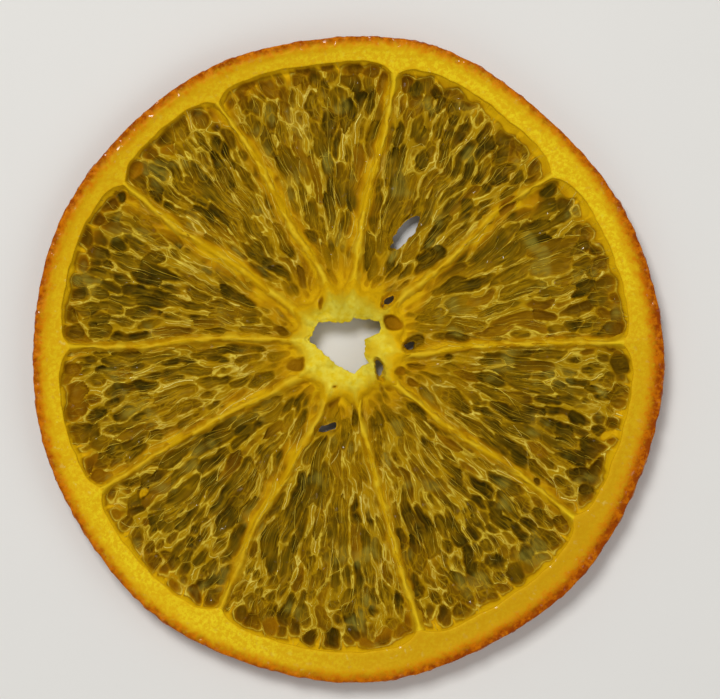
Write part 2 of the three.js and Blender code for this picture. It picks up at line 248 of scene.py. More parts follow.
# How the vesicles lie: the flow's own scale and each segment's step in it, how far its apex is from
# the core's middle, the width of those along the pith, the share of neighbours that have grown
# into one, how far their borders round off and how far a weak web draws back.
FLOW_RADIUS = 18.0
FLOW_LAYER = 7.3
APEX_OFFSET = 4.2
VESICLES_JOINED = 0.14
RIM_VESICLE = 2.1
VESICLE_PULL = 0.42
ROUNDING = 0.24
WEB_REACH = 0.34


def fade(share):
    """The smooth step from 0 to 1."""
    share = np.clip(share, 0, 1)
    return share * share * (3 - 2 * share)


def ramp(value, low, high):
    """The smooth step from 0 at low to 1 at high."""
    return fade((value - low) / (high - low))


def mix(first, last, share):
    """The value that share of the way from the first to the last."""
    return first + (last - first) * share


def noise(x, y, size, seed):
    """Smooth noise from about -1 to 1, with features of the given size."""
    x, y = np.asarray(x, float) / size, np.asarray(y, float) / size
    column, row = np.floor(x).astype(np.int64), np.floor(y).astype(np.int64)
    dx, dy = x - column, y - row
    across, up = (t * t * t * (t * (t * 6 - 15) + 10) for t in (dx, dy))

    def corner(i, j):
        mixed = (column + i) * 374761393 + (row + j) * 668265263 + seed * 982451653
        mixed = (mixed ^ (mixed >> 13)) * 1274126177
        angle = ((mixed ^ (mixed >> 16)) & 0xFFFF) * (TURN / 0x10000)
        return np.cos(angle) * (dx - i) + np.sin(angle) * (dy - j)

    low = mix(corner(0, 0), corner(1, 0), across)
    high = mix(corner(0, 1), corner(1, 1), across)
    return 1.5 * mix(low, high, up)


def layered_noise(x, y, size, seed, layers=3):
    """Noise with finer and fainter noise on it."""
    return sum(noise(x, y, size / 2**i, seed + i) / 2**i for i in range(layers))


def outline_radius(angle):
    """The outline's radius about the slice's middle."""
    waves = (size * np.cos(turns * (angle - math.radians(peak)))
             for turns, size, peak in OUTLINE_WAVES)
    return SLICE_RADIUS + sum(waves)


def pith_width(angle):
    """How wide the band of peel and pith is, at an angle about the slice's middle."""
    return PITH_WIDTH + PITH_SWING * np.cos(angle - math.radians(PITH_THICKEST_AT))


def from_core(direction, distance):
    """The point in that direction and at that distance from the core's middle."""
    return CORE[0] + distance * np.cos(direction), CORE[1] + distance * np.sin(direction)


def reach(direction, radius_at):
    """How far the core's middle is from the curve of that radius about the slice's middle."""
    distance = np.full(np.shape(direction), SLICE_RADIUS)
    for _ in range(7):
        x, y = from_core(direction, distance)
        distance = distance + radius_at(np.arctan2(y, x)) - np.hypot(x, y)
    return distance


def turned(angle, start):
    """The signed angle from start to angle, from half a turn back to half a turn on."""
    return (angle - start + math.pi) % TURN - math.pi


def outline_reach(direction):
    """The distance of the outline from the core's middle."""
    return reach(direction, outline_radius)


def pith_edge(direction):
    """The distance of the pith's inner edge, with its fillets and scallops."""
    edge = reach(direction, lambda angle: outline_radius(angle) - pith_width(angle))
    for outer in np.radians(WALL_ANGLES[:, -1]):
        arc = np.abs(turned(direction, outer)) * WALL_RADII[-1]
        arc = np.hypot(arc, FILLET_TIP) - FILLET_TIP
        edge = edge - FILLET_DEPTH * np.exp(-arc / FILLET_REACH)
    arc_x, arc_y = 33 * np.cos(direction), 33 * np.sin(direction)
    return edge + SCALLOP_DEPTH * layered_noise(arc_x, arc_y, 2.6, 41, 2)


def core_radius(direction):
    """The distance of the spongy core's edge from its middle."""
    return CORE_RADIUS + CORE_SWING * np.cos(direction - math.radians(CORE_WIDEST_AT))


def hole_radius(direction):
    """The distance of the hole's torn lip: straight between its corners, and ragged."""
    corners = np.array([(d * math.cos(math.radians(a)), d * math.sin(math.radians(a)))
                        for a, d in HOLE_CORNERS])
    angles = np.radians([a for a, _ in HOLE_CORNERS])
    step = (direction - angles[0]) % TURN
    after = np.searchsorted((angles - angles[0]) % TURN, step, side="right") - 1
    start, end = corners[after], corners[(after + 1) % len(corners)]
    side = end - start
    facing = np.stack([np.cos(direction), np.sin(direction)], -1)
    crossed = facing[..., 0] * side[..., 1] - facing[..., 1] * side[..., 0]
    straight = (start[..., 0] * side[..., 1] - start[..., 1] * side[..., 0]) / crossed
    x, y = straight * facing[..., 0], straight * facing[..., 1]
    return straight + 0.17 * layered_noise(x, y, 0.75, 5, 4)


def wall_direction(wall, distance):
    """The direction of a wall, part eased so that it bends softly at each named distance."""
    inside = np.clip(distance, WALL_RADII[0], WALL_RADII[-1])
    step = np.clip(np.searchsorted(WALL_RADII, inside) - 1, 0, len(WALL_RADII) - 2)
    radii, angles = np.array(WALL_RADII), WALL_ANGLES[wall % WALLS] + 360 * (wall // WALLS)
    share = (inside - radii[step]) / (radii[step + 1] - radii[step])
    return np.radians(mix(angles[step], angles[step + 1], (share + fade(share)) / 2))


def survey(x, y):
    """Where points lie in the slice: their segment, and how far they are from its four sides."""
    distance = np.hypot(x - CORE[0], y - CORE[1])
    direction = np.arctan2(y - CORE[1], x - CORE[0])
    past = np.stack([(direction - wall_direction(k, distance)) % TURN for k in range(WALLS)])
    segment = past.argmin(0)
    since = np.take_along_axis(past, segment[None], 0)[0]
    until = TURN - np.take_along_axis(past, (segment[None] + 1) % WALLS, 0)[0]
    return SimpleNamespace(
        x=x, y=y, distance=distance, direction=direction, segment=segment,
        after_wall=distance * since, before_wall=distance * until,
        to_pith=pith_edge(direction) - distance, past_core=distance - core_radius(direction),
    )


# Cells stretch most half way out. FLOW_TABLE turns a distance from the apex into an even step.
FLOW_STEPS = np.linspace(0.4, 42, 900)
FLOW_STRETCH = 1.75 + 1.45 * np.exp(-(((FLOW_STEPS - 13) / 9) ** 2))
FLOW_STRETCH -= 0.6 * np.clip((FLOW_STEPS - 22) / 4, 0, 1)
FLOW_TABLE = np.concatenate([[0], np.cumsum(
    np.diff(FLOW_STEPS) / (FLOW_STEPS[1:] * FLOW_STRETCH[1:]))])


def sway(x, y):
    """How far the vesicles are pushed out of their even flow."""
    return (
        0.55 * noise(x, y, 4.5, 61) + 0.16 * noise(x, y, 1.6, 62),
        0.55 * noise(x, y, 4.5, 63) + 0.16 * noise(x, y, 1.6, 64),
    )


def apex_of(segment):
    """The point that a segment's vesicles fan out from, and the direction of its middle."""
    middle = (wall_direction(segment, 18.0) + wall_direction(segment + 1, 18.0)) / 2
    x = CORE[0] + APEX_OFFSET * math.cos(middle)
    y = CORE[1] + APEX_OFFSET * math.sin(middle)
    return x, y, middle


def to_flow(x, y, segment):
    """Points in the even plane of a segment's vesicles, and their distance from its apex."""
    push_x, push_y = sway(x, y)
    apex_x, apex_y, middle = apex_of(segment)
    out_x, out_y = x + push_x - apex_x, y + push_y - apex_y
    distance = np.maximum(np.hypot(out_x, out_y), FLOW_STEPS[0])
    across = turned(np.arctan2(out_y, out_x), middle)
    return np.stack([across, np.interp(distance, FLOW_STEPS, FLOW_TABLE)], -1), distance


def from_flow(plane, segment):
    """Points of the slice from points of the even plane."""
    apex_x, apex_y, middle = apex_of(segment)
    distance = np.interp(plane[:, 1], FLOW_TABLE, FLOW_STEPS)
    pushed_x = apex_x + distance * np.cos(plane[:, 0] + middle)
    pushed_y = apex_y + distance * np.sin(plane[:, 0] + middle)
    x, y = pushed_x, pushed_y
    for _ in range(5):
        push_x, push_y = sway(x, y)
        x, y = pushed_x - push_x, pushed_y - push_y
    return x, y


def rim_seeds(segment, random):
    """The middles of the round vesicles that stand in a row along the pith."""
    start, end = (wall_direction(k, WALL_RADII[-1]) for k in (segment, segment + 1))
    count = int(round((end - start) * WALL_RADII[-1] / RIM_VESICLE))
    share = (np.arange(count) + 0.5 + random.uniform(-0.42, 0.42, count)) / count
    direction = mix(start, end, share)
    distance = pith_edge(direction) - random.uniform(0.45, 1.5, count)
    return direction, distance


def scatter_seeds(segment, width, random):
    """Vesicle middles in the even plane, each with room of its own size."""
    start, end = wall_direction(segment, 20.0), wall_direction(segment + 1, 20.0)
    direction, distance = rim_seeds(segment, random)
    rim = len(direction)
    tries = 5000
    direction = np.append(direction, random.uniform(start - 0.12, end + 0.12, tries))
    distance = np.append(distance, np.sqrt(random.uniform(5.0**2, 33.5**2, tries)))
    x, y = from_core(direction, distance)
    spots, from_apex = to_flow(x, y, segment)
    room = width * (0.6 + 0.4 * ramp(from_apex, 1, 11)) * random.uniform(0.5, 1.5, len(x))
    room[:rim] = RIM_VESICLE * random.uniform(0.5, 1.3, rim)
    room = room / from_apex
    deep = pith_edge(direction) - distance > 1.7
    kept = list(range(rim))
    for i in range(rim, len(x)):
        gaps = np.hypot(*(spots[kept] - spots[i]).T)
        if deep[i] and (gaps > (room[kept] + room[i]) / 2).all():
            kept.append(i)
    return spots[kept], room[kept]


# The strength of a web that isn't there, because two vesicles have grown into one.
WEB_GONE = -3.0


def clipped_cell(seeds, pull, middle, neighbours, limit):
    """A seed's cell as a list of corners, each with the neighbour across the side after it."""
    x, y = seeds[middle]
    cell = [(x - limit, y - limit, -1), (x + limit, y - limit, -1),
            (x + limit, y + limit, -1), (x - limit, y + limit, -1)]
    for other in neighbours:
        gap_x, gap_y = seeds[other][0] - x, seeds[other][1] - y
        half = (gap_x * (seeds[other][0] + x) + gap_y * (seeds[other][1] + y)) / 2
        half += (pull[middle] - pull[other]) / 2
        beyond = [px * gap_x + py * gap_y - half for px, py, _ in cell]
        trimmed = []
        for i, (px, py, side) in enumerate(cell):
            qx, qy, _ = cell[(i + 1) % len(cell)]
            here, there = beyond[i], beyond[(i + 1) % len(cell)]
            if here <= 0:
                trimmed.append((px, py, side))
            if here * there < 0:
                share = here / (here - there)
                cut = (mix(px, qx, share), mix(py, qy, share))
                trimmed.append((*cut, other if here <= 0 else side))
        cell = trimmed
    return cell


def grow_vesicles(segment, width, seed):
    """The vesicles of one segment: middles, webs between them, and each one's character."""
    random = np.random.default_rng(seed)
    seeds, room = scatter_seeds(segment, width, random)
    pull = (room * VESICLE_PULL) ** 2
    count = len(seeds)
    gaps = np.hypot(*(seeds[:, None] - seeds[None]).transpose(2, 0, 1))
    middles = (seeds[:, None] + seeds[None]).reshape(-1, 2) / 2
    x, y = from_flow(middles, segment)
    patch = noise(x, y, 4.5, seed)
    strand = noise(middles[:, 0] * FLOW_RADIUS, middles[:, 1] * FLOW_RADIUS / 5, 2.2, seed + 50)
    patch = (patch + 0.8 * strand).reshape(count, count)
    across, along = np.abs(seeds[:, None] - seeds[None]).transpose(2, 0, 1)
    lengthwise = (across - along) / np.maximum(across + along, 1e-9)
    web = 0.5 + 0.6 * patch + 0.6 * lengthwise
    web = np.triu(web + 0.35 * random.standard_normal((count, count)))
    joined = np.triu(random.random((count, count))) < VESICLES_JOINED
    web = np.where(joined, np.minimum(web, WEB_GONE), web)
    web = np.triu(web, 1) + np.triu(web, 1).T
    character = random.random((count, 3))
    sides = []
    for i in range(count):
        near = np.argsort(gaps[i])[1:18]
        cell = clipped_cell(seeds, pull, i, near, 2.5 * gaps[i][near[5]])
        for k, (x, y, other) in enumerate(cell):
            if other > i:
                end = cell[(k + 1) % len(cell)]
                if web[i, other] > WEB_GONE / 2:
                    sides.append(((x, y), end[:2], web[i, other]))
                else:
                    character[other] = character[i]
    return SimpleNamespace(
        seeds=seeds, room=room, pull=pull, web=web, character=character, sides=sides)


def crowding(gap):
    """How strongly a border that far off presses on a vesicle, so that its corners turn round."""
    return np.exp(-gap / ROUNDING)


def soft_gap(crowd):
    """The gap that presses as strongly as several borders do together."""
    return -ROUNDING * np.log(crowd)


def rim_film_width(at):
    """How far the smooth film reaches in from the pith."""
    off = turned(at.direction, math.radians(RIM_FILM_WIDEST_AT))
    width = RIM_FILM + RIM_FILM_MORE * np.exp(-((off / 0.5) ** 2))
    return np.maximum(width + 0.6 * layered_noise(at.x, at.y, 2.4, 43, 2), 0.1)


def cell_field(plane, from_apex, vesicles):
    """How strongly the neighbours press on points, how far along they are in their own vesicle,
    and its character."""
    seeds = vesicles.seeds
    squared = ((plane[:, None] - seeds[None]) ** 2).sum(-1) - vesicles.pull
    near = np.argpartition(squared, 6, axis=1)[:, :7]
    order = np.take_along_axis(squared, near, 1).argsort(1)
    near = np.take_along_axis(near, order, 1)
    squared = np.take_along_axis(squared, near, 1)
    own, others = near[:, :1], near[:, 1:]
    span = seeds[others] - seeds[own]
    length = np.hypot(span[..., 0], span[..., 1])
    gap = (squared[:, 1:] - squared[:, :1]) / (2 * length)
    stretch = np.interp(from_apex, FLOW_STEPS, FLOW_STRETCH)[:, None]
    tilt = np.hypot(span[..., 0], span[..., 1] / stretch) / length
    inside = gap * from_apex[:, None] / tilt
    inside = inside + WEB_REACH * (1 - vesicles.web[own, others])
    own = own[:, 0]
    character = vesicles.character[own]
    off = (plane - seeds[own]) / vesicles.room[own, None]
    # The lean, from -1 to 1 across each vesicle, tints its film as painted shade and light, and
    # deepens its hollow at one end.
    lean = off[:, 0] * np.cos(TURN * character[:, 2]) + off[:, 1] * np.sin(TURN * character[:, 2])
    return crowding(inside).sum(1), np.clip(lean * 1.6, -1, 1), character


def along_and_across(x, y, middle_x, middle_y, along):
    """Points measured from a middle, along a direction in degrees and across it."""
    turn = math.radians(along)
    run = (x - middle_x) * math.cos(turn) + (y - middle_y) * math.sin(turn)
    side = (y - middle_y) * math.cos(turn) - (x - middle_x) * math.sin(turn)
    return run, side


def deepest_oval(x, y, ovals):
    """How far points are inside the nearest of some ragged ovals, and which one it is."""
    deepest, chosen = np.full(np.shape(x), -99.0), np.zeros(np.shape(x), int)
    wobble = 0.12 * layered_noise(x, y, 1.2, 81, 2)
    x, y = x + 0.3 * noise(x, y, 1.9, 83), y + 0.3 * noise(x, y, 1.9, 84)
    for k, (middle_x, middle_y, length, width, along) in enumerate(ovals):
        run, side = along_and_across(x, y, middle_x, middle_y, along)
        depth = (1 - np.hypot(run / (length / 2), side / (width / 2))) * width / 2 + wobble
        chosen = np.where(depth > deepest, k, chosen)
        deepest = np.maximum(deepest, depth)
    return deepest, chosen


def pocket_field(x, y):
    """How far points are inside the nearest clear pocket, and how amber it is."""
    deepest, chosen = deepest_oval(x, y, [pocket[:5] for pocket in POCKETS])
    return deepest, np.array([pocket[5] for pocket in POCKETS])[chosen]


def tear_distance(x, y):
    """How far points are outside the nearest tear: below 0 inside it."""
    nearest = np.full(np.shape(x), 99.0)
    for k, (tear_x, tear_y, length, width, along) in enumerate(TEARS):
        run, side = along_and_across(x, y, tear_x, tear_y, along)
        share = np.abs(run / (length / 2)) ** 1.7 + np.abs(side / (width / 2)) ** 1.9
        gap = (share ** 0.55 - 1) * width / 2
        nearest = np.minimum(nearest, gap + 0.21 * layered_noise(x, y, 0.95, 70 + k, 2))
    return nearest


def find_borders(at):
    """Adds how near points are to walls, pith and core, how much they are pulp, and their grain."""
    x, y = at.x, at.y
    at.near_core = np.maximum(at.past_core, 0)
    at.near_edge = np.maximum(at.to_pith, 0)
    at.near_pith = np.exp(-((at.near_edge / 1.9) ** 2))
    webs = np.array(WALL_WEBS)
    swell = 1 + 0.5 * layered_noise(x, y, 5.0, 21, 2)
    inner = 1 + 0.35 * np.exp(-at.near_core / 4)
    after = at.after_wall / (webs[at.segment, 1] * swell * inner)
    before = at.before_wall / (webs[(at.segment + 1) % WALLS, 0] * swell * inner)
    at.web_near = np.minimum(after, before)
    at.wall_near = np.minimum(at.after_wall, at.before_wall)
    core_edge = at.past_core + 0.3 + 0.5 * layered_noise(x, y, 1.8, 95, 2)
    at.core_edge = core_edge - 1.3 * np.exp(-((at.wall_near / 0.85) ** 2))
    at.pulp = ramp(at.core_edge, -0.6, 0.6)
    at.corner = np.exp(-at.wall_near / 0.7 - at.near_edge / 0.9)
    at.grain = layered_noise(x, y, 1.5, 181, 3)
    at.sponge = layered_noise(x, y, 1.1, 91, 3)
    at.torn = tear_distance(x, y)


def find_depth(at):
    """Adds how far points are inside their vesicle, with pockets, lobes and the rim's film."""
    x, y = at.x, at.y
    thick = 1 + 1.1 * np.exp(-at.near_edge / 0.7) + 0.75 * np.clip(at.grain, -0.7, 1)
    thick = thick + 0.7 * np.exp(-at.near_core / 3)
    crowd = at.crowd * thick + crowding(at.wall_near - 0.35) + crowding(at.to_pith + 0.1)
    crowd = crowd + crowding(at.past_core - 0.1)
    depth = soft_gap(crowd)
    at.pocket, at.pocket_amber = pocket_field(x, y)
    at.clear = ramp(at.pocket, -0.05, 0.25)
    at.ingrown = ramp(deepest_oval(x, y, LOBES)[0], -0.05, 0.2)
    depth = mix(depth, at.pocket + 0.1, at.clear) - 0.5 * at.ingrown
    at.lobe = ramp(-depth, -0.12, 0.1)
    inside_film = at.to_pith - rim_film_width(at)
    at.rim_film = ramp(-inside_film, -0.1, 0.15) * (1 - at.clear)
    at.depth = mix(soft_gap(crowding(depth) + crowding(inside_film)), depth, at.clear)
    at.open_depth = np.maximum(at.depth, 0)


def face_height(at, side):
    """Heights over the underside: what rises most wins, with soft joins between the rises."""
    ridge = RIDGE_RISE * np.exp(-((at.open_depth / 0.22) ** 1.3)) * at.pulp
    ridge = ridge - 0.08 * ramp(-at.depth, 0.04, 0.3) * at.pulp
    dip = 0.4 + 0.9 * at.character[:, 0] + 0.3 * at.lean
    hollow = -HOLLOW_SINK * ramp(at.depth, 0.05, 0.7) * dip * at.pulp
    wall = WALL_RISE * np.exp(-((at.wall_near / 0.4) ** 2))
    wall = wall + WEB_RISE * np.exp(-(at.web_near**2))
    wall = wall * ramp(at.past_core, -2.4, -0.6)
    pith = (PITH_RISE + LOBE_RISE * at.lobe) * np.exp(-((at.near_edge / 0.5) ** 2))
    film = (0.15 + FILM_RISE * np.exp(-at.near_edge / 0.85)) * at.rim_film
    pith = np.maximum.reduce([pith, film, CORNER_RISE * ramp(at.corner, 0.2, 0.75)])
    core = (CORE_RISE + 0.09 * at.sponge) * (1 - ramp(at.core_edge, -1.0, 1.3))
    rises = np.stack([ridge, wall, pith, core])
    sag = SAG * layered_noise(at.x, at.y, 3.0, 31, 2)
    rise = (np.maximum(rises, 0) ** 3).sum(0) ** (1 / 3) + sag * at.pulp + hollow
    pocket_floor = np.minimum(rise, 0.5 * at.pocket_amber - 0.15)
    rise = mix(rise, pocket_floor, ramp(at.pocket, -0.03, 0.4))
    height = FLOOR_AT[side] + RISE_SCALE[side] * rise
    thinned = ramp(at.torn, 0, mix(0.25, 0.7, ramp(at.past_core, -1, 1)))
    height = mix(MIDDLE_AT - 0.04 * RISE_SCALE[side], height, thinned)
    lip = ramp(at.distance - hole_radius(at.direction), 0, 0.55)
    return mix(LIP_AT[side], height, lip)


def dark_mask(at):
    """How clear, and so how dark, the film in the middle of each vesicle is, with painted shade and
    light across each one.
    """
    # The lean darkens one end of each vesicle and lightens the other: painted shade and painted
    # light.
    dark = 0.3 + 0.95 * at.character[:, 0] ** 1.2 + 0.35 * at.lean + 0.35 * at.near_pith
    dark = np.clip(dark, 0, 1)
    dark = dark * (0.5 + 0.55 * ramp(layered_noise(at.x, at.y, 4.2, 161, 2), -0.6, 0.5))
    clearest = (0.85 + 0.15 * at.lean) * (1 - 0.85 * at.pocket_amber**2)
    dark = mix(dark, clearest, at.clear) * np.maximum(at.pulp, at.clear)
    return dark * (1 - 0.3 * np.exp(-at.near_core / 4) * (1 - at.clear))


def amber_mask(at, patch):
    """How amber the film is: beside walls and pith, in some vesicles and in some pockets."""
    own = at.character[:, 1]
    beside = 0.75 * np.exp(-((at.web_near / 1.3) ** 2)) * ramp(patch, -0.1, 0.7)
    rim_tone = 0.3 + 0.9 * ramp(layered_noise(at.x, at.y, 8.0, 171, 2), -0.5, 0.5)
    amber = at.near_pith * (0.15 + 0.9 * own) * rim_tone + beside
    amber = amber + 0.5 * ramp(own, 0.8, 1.0) + 0.2 * np.clip(at.grain, 0, 1)
    amber = amber + 0.35 * np.exp(-(((at.depth - 0.24) / 0.13) ** 2)) * (0.3 + at.near_pith)
    amber = np.maximum(amber, 0.55 * at.rim_film)
    amber = mix(np.clip(amber, 0, 1), at.pocket_amber, at.clear)
    return amber * np.maximum(at.pulp, at.clear)


def pale_mask(at):
    """How pale and spongy the core is, apart from its golden tooth."""
    rays = 0.5 * at.sponge - 0.9 * np.exp(-((at.wall_near / 0.5) ** 2))
    pale = (1 - ramp(at.distance + rays, 3.6, 6.4)) * (1 - at.clear)
    tooth_x, tooth_y, tooth_size = TOOTH
    off_tooth = np.hypot(at.x - tooth_x, at.y - tooth_y) / tooth_size
    return pale * (1 - 0.75 * np.exp(-(off_tooth**2)))


def thick_masks(at, patch):
    """How strong the webs are, where film thickens to a membrane, and the pith's bright edge, partly
    its own colour and partly painted light.
    """
    breadth = 0.25 * (1 + 0.7 * np.clip(at.grain, -0.7, 1))
    strength = at.pulp * (1 - at.clear) * (0.85 + 0.3 * layered_noise(at.x, at.y, 2.2, 191, 2))
    strength = strength * (1 - 0.65 * at.rim_film)
    web = np.exp(-((at.open_depth / breadth) ** 1.2)) * strength
    fringe = at.near_edge * (1 - 0.75 * at.lobe)
    edge = np.exp(-((fringe / 0.27) ** 2))
    fan = np.exp(-at.near_core / 3.2) * web
    fan = np.maximum(fan, 1 - ramp(at.core_edge, -0.4, 0.8))
    lobe = at.lobe * at.near_pith * 0.9
    beside = 0.2 + 0.45 * web + 0.4 * ramp(patch, -0.5, 0.5)
    beside = np.exp(-(at.web_near**2) * 0.9) * beside
    membrane = np.maximum.reduce([beside, fan, lobe]) * (1 - at.clear)
    shore = 0.45 + 0.25 * ramp(patch, -0.4, 0.4) + 0.4 * np.exp(-at.near_edge / 0.7)
    membrane = np.maximum.reduce([
        membrane,
        edge,
        shore * at.rim_film,
        0.7 * at.ingrown,
        ramp(at.corner, 0.15, 0.5),
    ])
    # The pith's edge, the fillet corners and membranes near the core take the brim tint: partly
    # their own colour, partly painted light, the glow of light through the thin edge over its shaded
    # slope.
    brim_and_light = np.maximum.reduce([
        lobe * edge,
        0.8 * at.rim_film * np.exp(-((at.near_edge / 0.25) ** 2)),
        ramp(at.corner, 0.2, 0.6),
        0.6 * np.exp(-at.near_core / 3.0) * membrane,
    ])
    return {"strength": strength, "membrane": membrane, "brim_and_light": brim_and_light}


def face_masks(at):
    """The masks that tint a sheet, and the place along the vesicles that its streaks follow."""
    x, y = at.x, at.y
    patch = layered_noise(x, y, 3.2, 141, 2)
    golden = np.exp(-at.near_core / 5.0)
    golden = golden + 0.35 * ramp(layered_noise(x, y, 6.0, 201, 2), -0.1, 0.7)
    flap = ramp(deepest_oval(x, y, FLAPS)[0], -0.05, 0.3)
    # Painted sheen where the film catches light, laid by noise, and milky flaps of loose film, which
    # are its own colour.
    haze_and_sheen = np.maximum(ramp(layered_noise(x, y, 4.0, 151, 3), 0.35, 0.9), 1.2 * flap)
    return {
        "depth": np.clip(at.depth - 0.06 * at.grain, -0.6, 0.9),
        "dark": dark_mask(at),
        "amber": amber_mask(at, patch),
        **thick_masks(at, patch),
        "golden": np.maximum(golden, 0.7 * at.rim_film),
        "haze_and_sheen": haze_and_sheen * at.pulp * (1 - at.clear),
        "pale": pale_mask(at),
        "flow": at.flow,
    }


class Face:
    """The relief and the tints of one cut face of the slice."""

    def __init__(self, side, vesicle_width, seed):
        self.side = side
        self.vesicles = [grow_vesicles(k, vesicle_width, seed + k) for k in range(WALLS)]

    def find_vesicles(self, at):
        """Adds how the vesicles press on points, and each point's place in its own vesicle."""
        count = len(at.x)
        at.crowd, at.lean = np.zeros(count), np.zeros(count)
        at.character, at.flow = np.zeros((count, 3)), np.zeros((count, 3))
        for k in range(WALLS):
            mine = np.flatnonzero(at.segment == k)
            plane, from_apex = to_flow(at.x[mine], at.y[mine], k)
            field = cell_field(plane, from_apex, self.vesicles[k])
            at.crowd[mine], at.lean[mine], at.character[mine] = field
            layer = np.full(len(mine), FLOW_LAYER * k)
            at.flow[mine] = np.column_stack([plane * FLOW_RADIUS, layer])

    def relief(self, x, y):
        """Heights over the underside and tint masks at points of the pulp and the core."""
        at = survey(x, y)
        self.find_vesicles(at)
        find_borders(at)
        find_depth(at)
        masks = face_masks(at)
        return SimpleNamespace(
            height=face_height(at, self.side), torn=at.torn, clear=at.clear,
            sunk=ramp(at.depth, 0.1, 0.24) * masks["dark"], masks=masks)


class Value:
    """A socket's value in one finish, so that shader maths reads as plain arithmetic."""

    def __init__(self, finish, socket):
        self.finish = finish
        self.socket = socket

    def _maths(self, operation, first, second):
        return self.finish.node("ShaderNodeMath", {"operation": operation}, {0: first, 1: second})

    def __add__(self, other):
        return self._maths("ADD", self, other)

    def __radd__(self, other):
        return self._maths("ADD", other, self)

    def __sub__(self, other):
        return self._maths("SUBTRACT", self, other)

    def __rsub__(self, other):
        return self._maths("SUBTRACT", other, self)

    def __mul__(self, other):
        return self._maths("MULTIPLY", self, other)

    def __rmul__(self, other):
        return self._maths("MULTIPLY", other, self)


# The warm tone of what the slice's surfaces reflect.
GLOSS = (1.0, 0.72, 0.1)


class Finish:
    """A material and its node tree, built up by expressions."""

    def __init__(self, name):
        self.material = bpy.data.materials.new(name)
        self.material.use_nodes = True
        self.tree = self.material.node_tree
        self.shader = self.tree.nodes["Principled BSDF"]

    def node(self, kind, settings=None, sockets=None, output=0):
        """Adds a node, sets it up, fills its sockets and returns one of its outputs."""
        node = self.tree.nodes.new(kind)
        for name, setting in (settings or {}).items():
            setattr(node, name, setting)
        for name, value in (sockets or {}).items():
            self._fill(node.inputs[name], value)
        return Value(self, node.outputs[output])

    def _fill(self, socket, value):
        if isinstance(value, Value):
            self.tree.links.new(value.socket, socket)
        elif socket.type == "RGBA" and len(value) == 3:
            socket.default_value = (*value, 1.0)
        else:
            socket.default_value = value

    def set(self, **sockets):
        """Fills the shader's own sockets, named with low lines for spaces."""
        for name, value in sockets.items():
            self._fill(self.shader.inputs[name.replace("_", " ")], value)

    def mask(self, name):
        """A mask that is stored on the mesh's points."""
        return self.node("ShaderNodeAttribute", {"attribute_name": name}, output="Fac")

    def place(self, name):
        """A vector that is stored on the mesh's points."""
        return self.node("ShaderNodeAttribute", {"attribute_name": name}, output="Vector")

    def object_place(self):
        return self.node("ShaderNodeTexCoord", output="Object")

    def stretched(self, place, across, along, up=1.0):
        return self.node("ShaderNodeVectorMath", {"operation": "MULTIPLY"},
                         {0: place, 1: (across, along, up)})

    def speckle(self, place, scale, detail=3.0, roughness=0.55, distortion=0.0):
        return self.node("ShaderNodeTexNoise", None, {
            "Vector": place, "Scale": scale, "Detail": detail,
            "Roughness": roughness, "Distortion": distortion,
        }, output="Fac")

    def warped(self, place, scale, amount):
        """A place that soft noise pushes about."""
        push = self.node("ShaderNodeTexNoise", None,
                         {"Vector": place, "Scale": scale, "Detail": 2.0}, output="Color")
        return self.node("ShaderNodeVectorMath", {"operation": "MULTIPLY_ADD"},
                         {0: push, 1: (amount, amount, amount), 2: place})

    def from_edge(self, place, scale):
        """How far a point is from the edges of a net of uneven cells."""
        return self.node("ShaderNodeTexVoronoi", {"feature": "DISTANCE_TO_EDGE"},
                         {"Vector": place, "Scale": scale}, output="Distance")

    def wisps(self, place, width):
        """Long thin loops: the places where soft noise is at its middle value."""
        return self.line(self.speckle(place, 1.0, 1.5, 0.5, 0.3), 0.5, width * 0.3, width)

    def line(self, value, middle, inner, outer):
        """1 where a value is near its middle, and 0 further off than outer."""
        off = self.node("ShaderNodeMath", {"operation": "ABSOLUTE"}, {0: value - middle})
        return self.between(off, inner, outer, 1.0, 0.0)

    def capped(self, value):
        return self.node("ShaderNodeMath", {"operation": "MINIMUM"}, {0: value, 1: 1.0})

    def between(self, value, low, high, start=0.0, end=1.0):
        """The smooth step of a value from start at low to end at high."""
        return self.node("ShaderNodeMapRange", {"interpolation_type": "SMOOTHSTEP"}, {
            "Value": value, "From Min": low, "From Max": high, "To Min": start, "To Max": end,
        })

    def blend(self, factor, first, second):
        """A colour between two colours."""
        return self.node("ShaderNodeMix", {"data_type": "RGBA"},
                         {0: factor, 6: first, 7: second}, output=2)

    def bump(self, height, distance, strength=1.0):
        return self.node("ShaderNodeBump", None,
                         {"Height": height, "Distance": distance, "Strength": strength})


def paint(red, green, blue):
    """A screen colour, from 0 to 255, as the light that Blender works with."""
    def light(level):
        share = level / 255
        return share / 12.92 if share <= 0.04045 else ((share + 0.055) / 1.055) ** 2.4
    return tuple(light(level) for level in (red, green, blue))


def tint(name, red, green, blue, about):
    return bpy.props.FloatVectorProperty(
        name=name, description=about, subtype="COLOR", size=3, min=0, max=1,
        default=paint(red, green, blue))


def span(name, millimetres, about):
    return bpy.props.FloatProperty(
        name=name, description=about, unit="LENGTH", subtype="DISTANCE", min=0,
        precision=5, default=millimetres * MM)


class SliceSizes(bpy.types.PropertyGroup):
    """Sizes of the fine parts, which the frame doesn't give."""

    vesicle_width: span("Vesicle width", 1.3, "Width of a dried vesicle half way out")
    thread_width: span("Thread width", 0.11, "Width of a thread between two vesicles")
    fibre_width: span("Fibre width", 0.06, "Width of a fine fibre over the film")
    gland_spacing: span("Gland spacing", 1.12, "Distance between oil glands in the peel")
    gland_depth: span("Gland depth", 0.22, "Depth of an oil gland's pit")
    floor_width: span("Floor width", 900, "Width of the floor in the render")


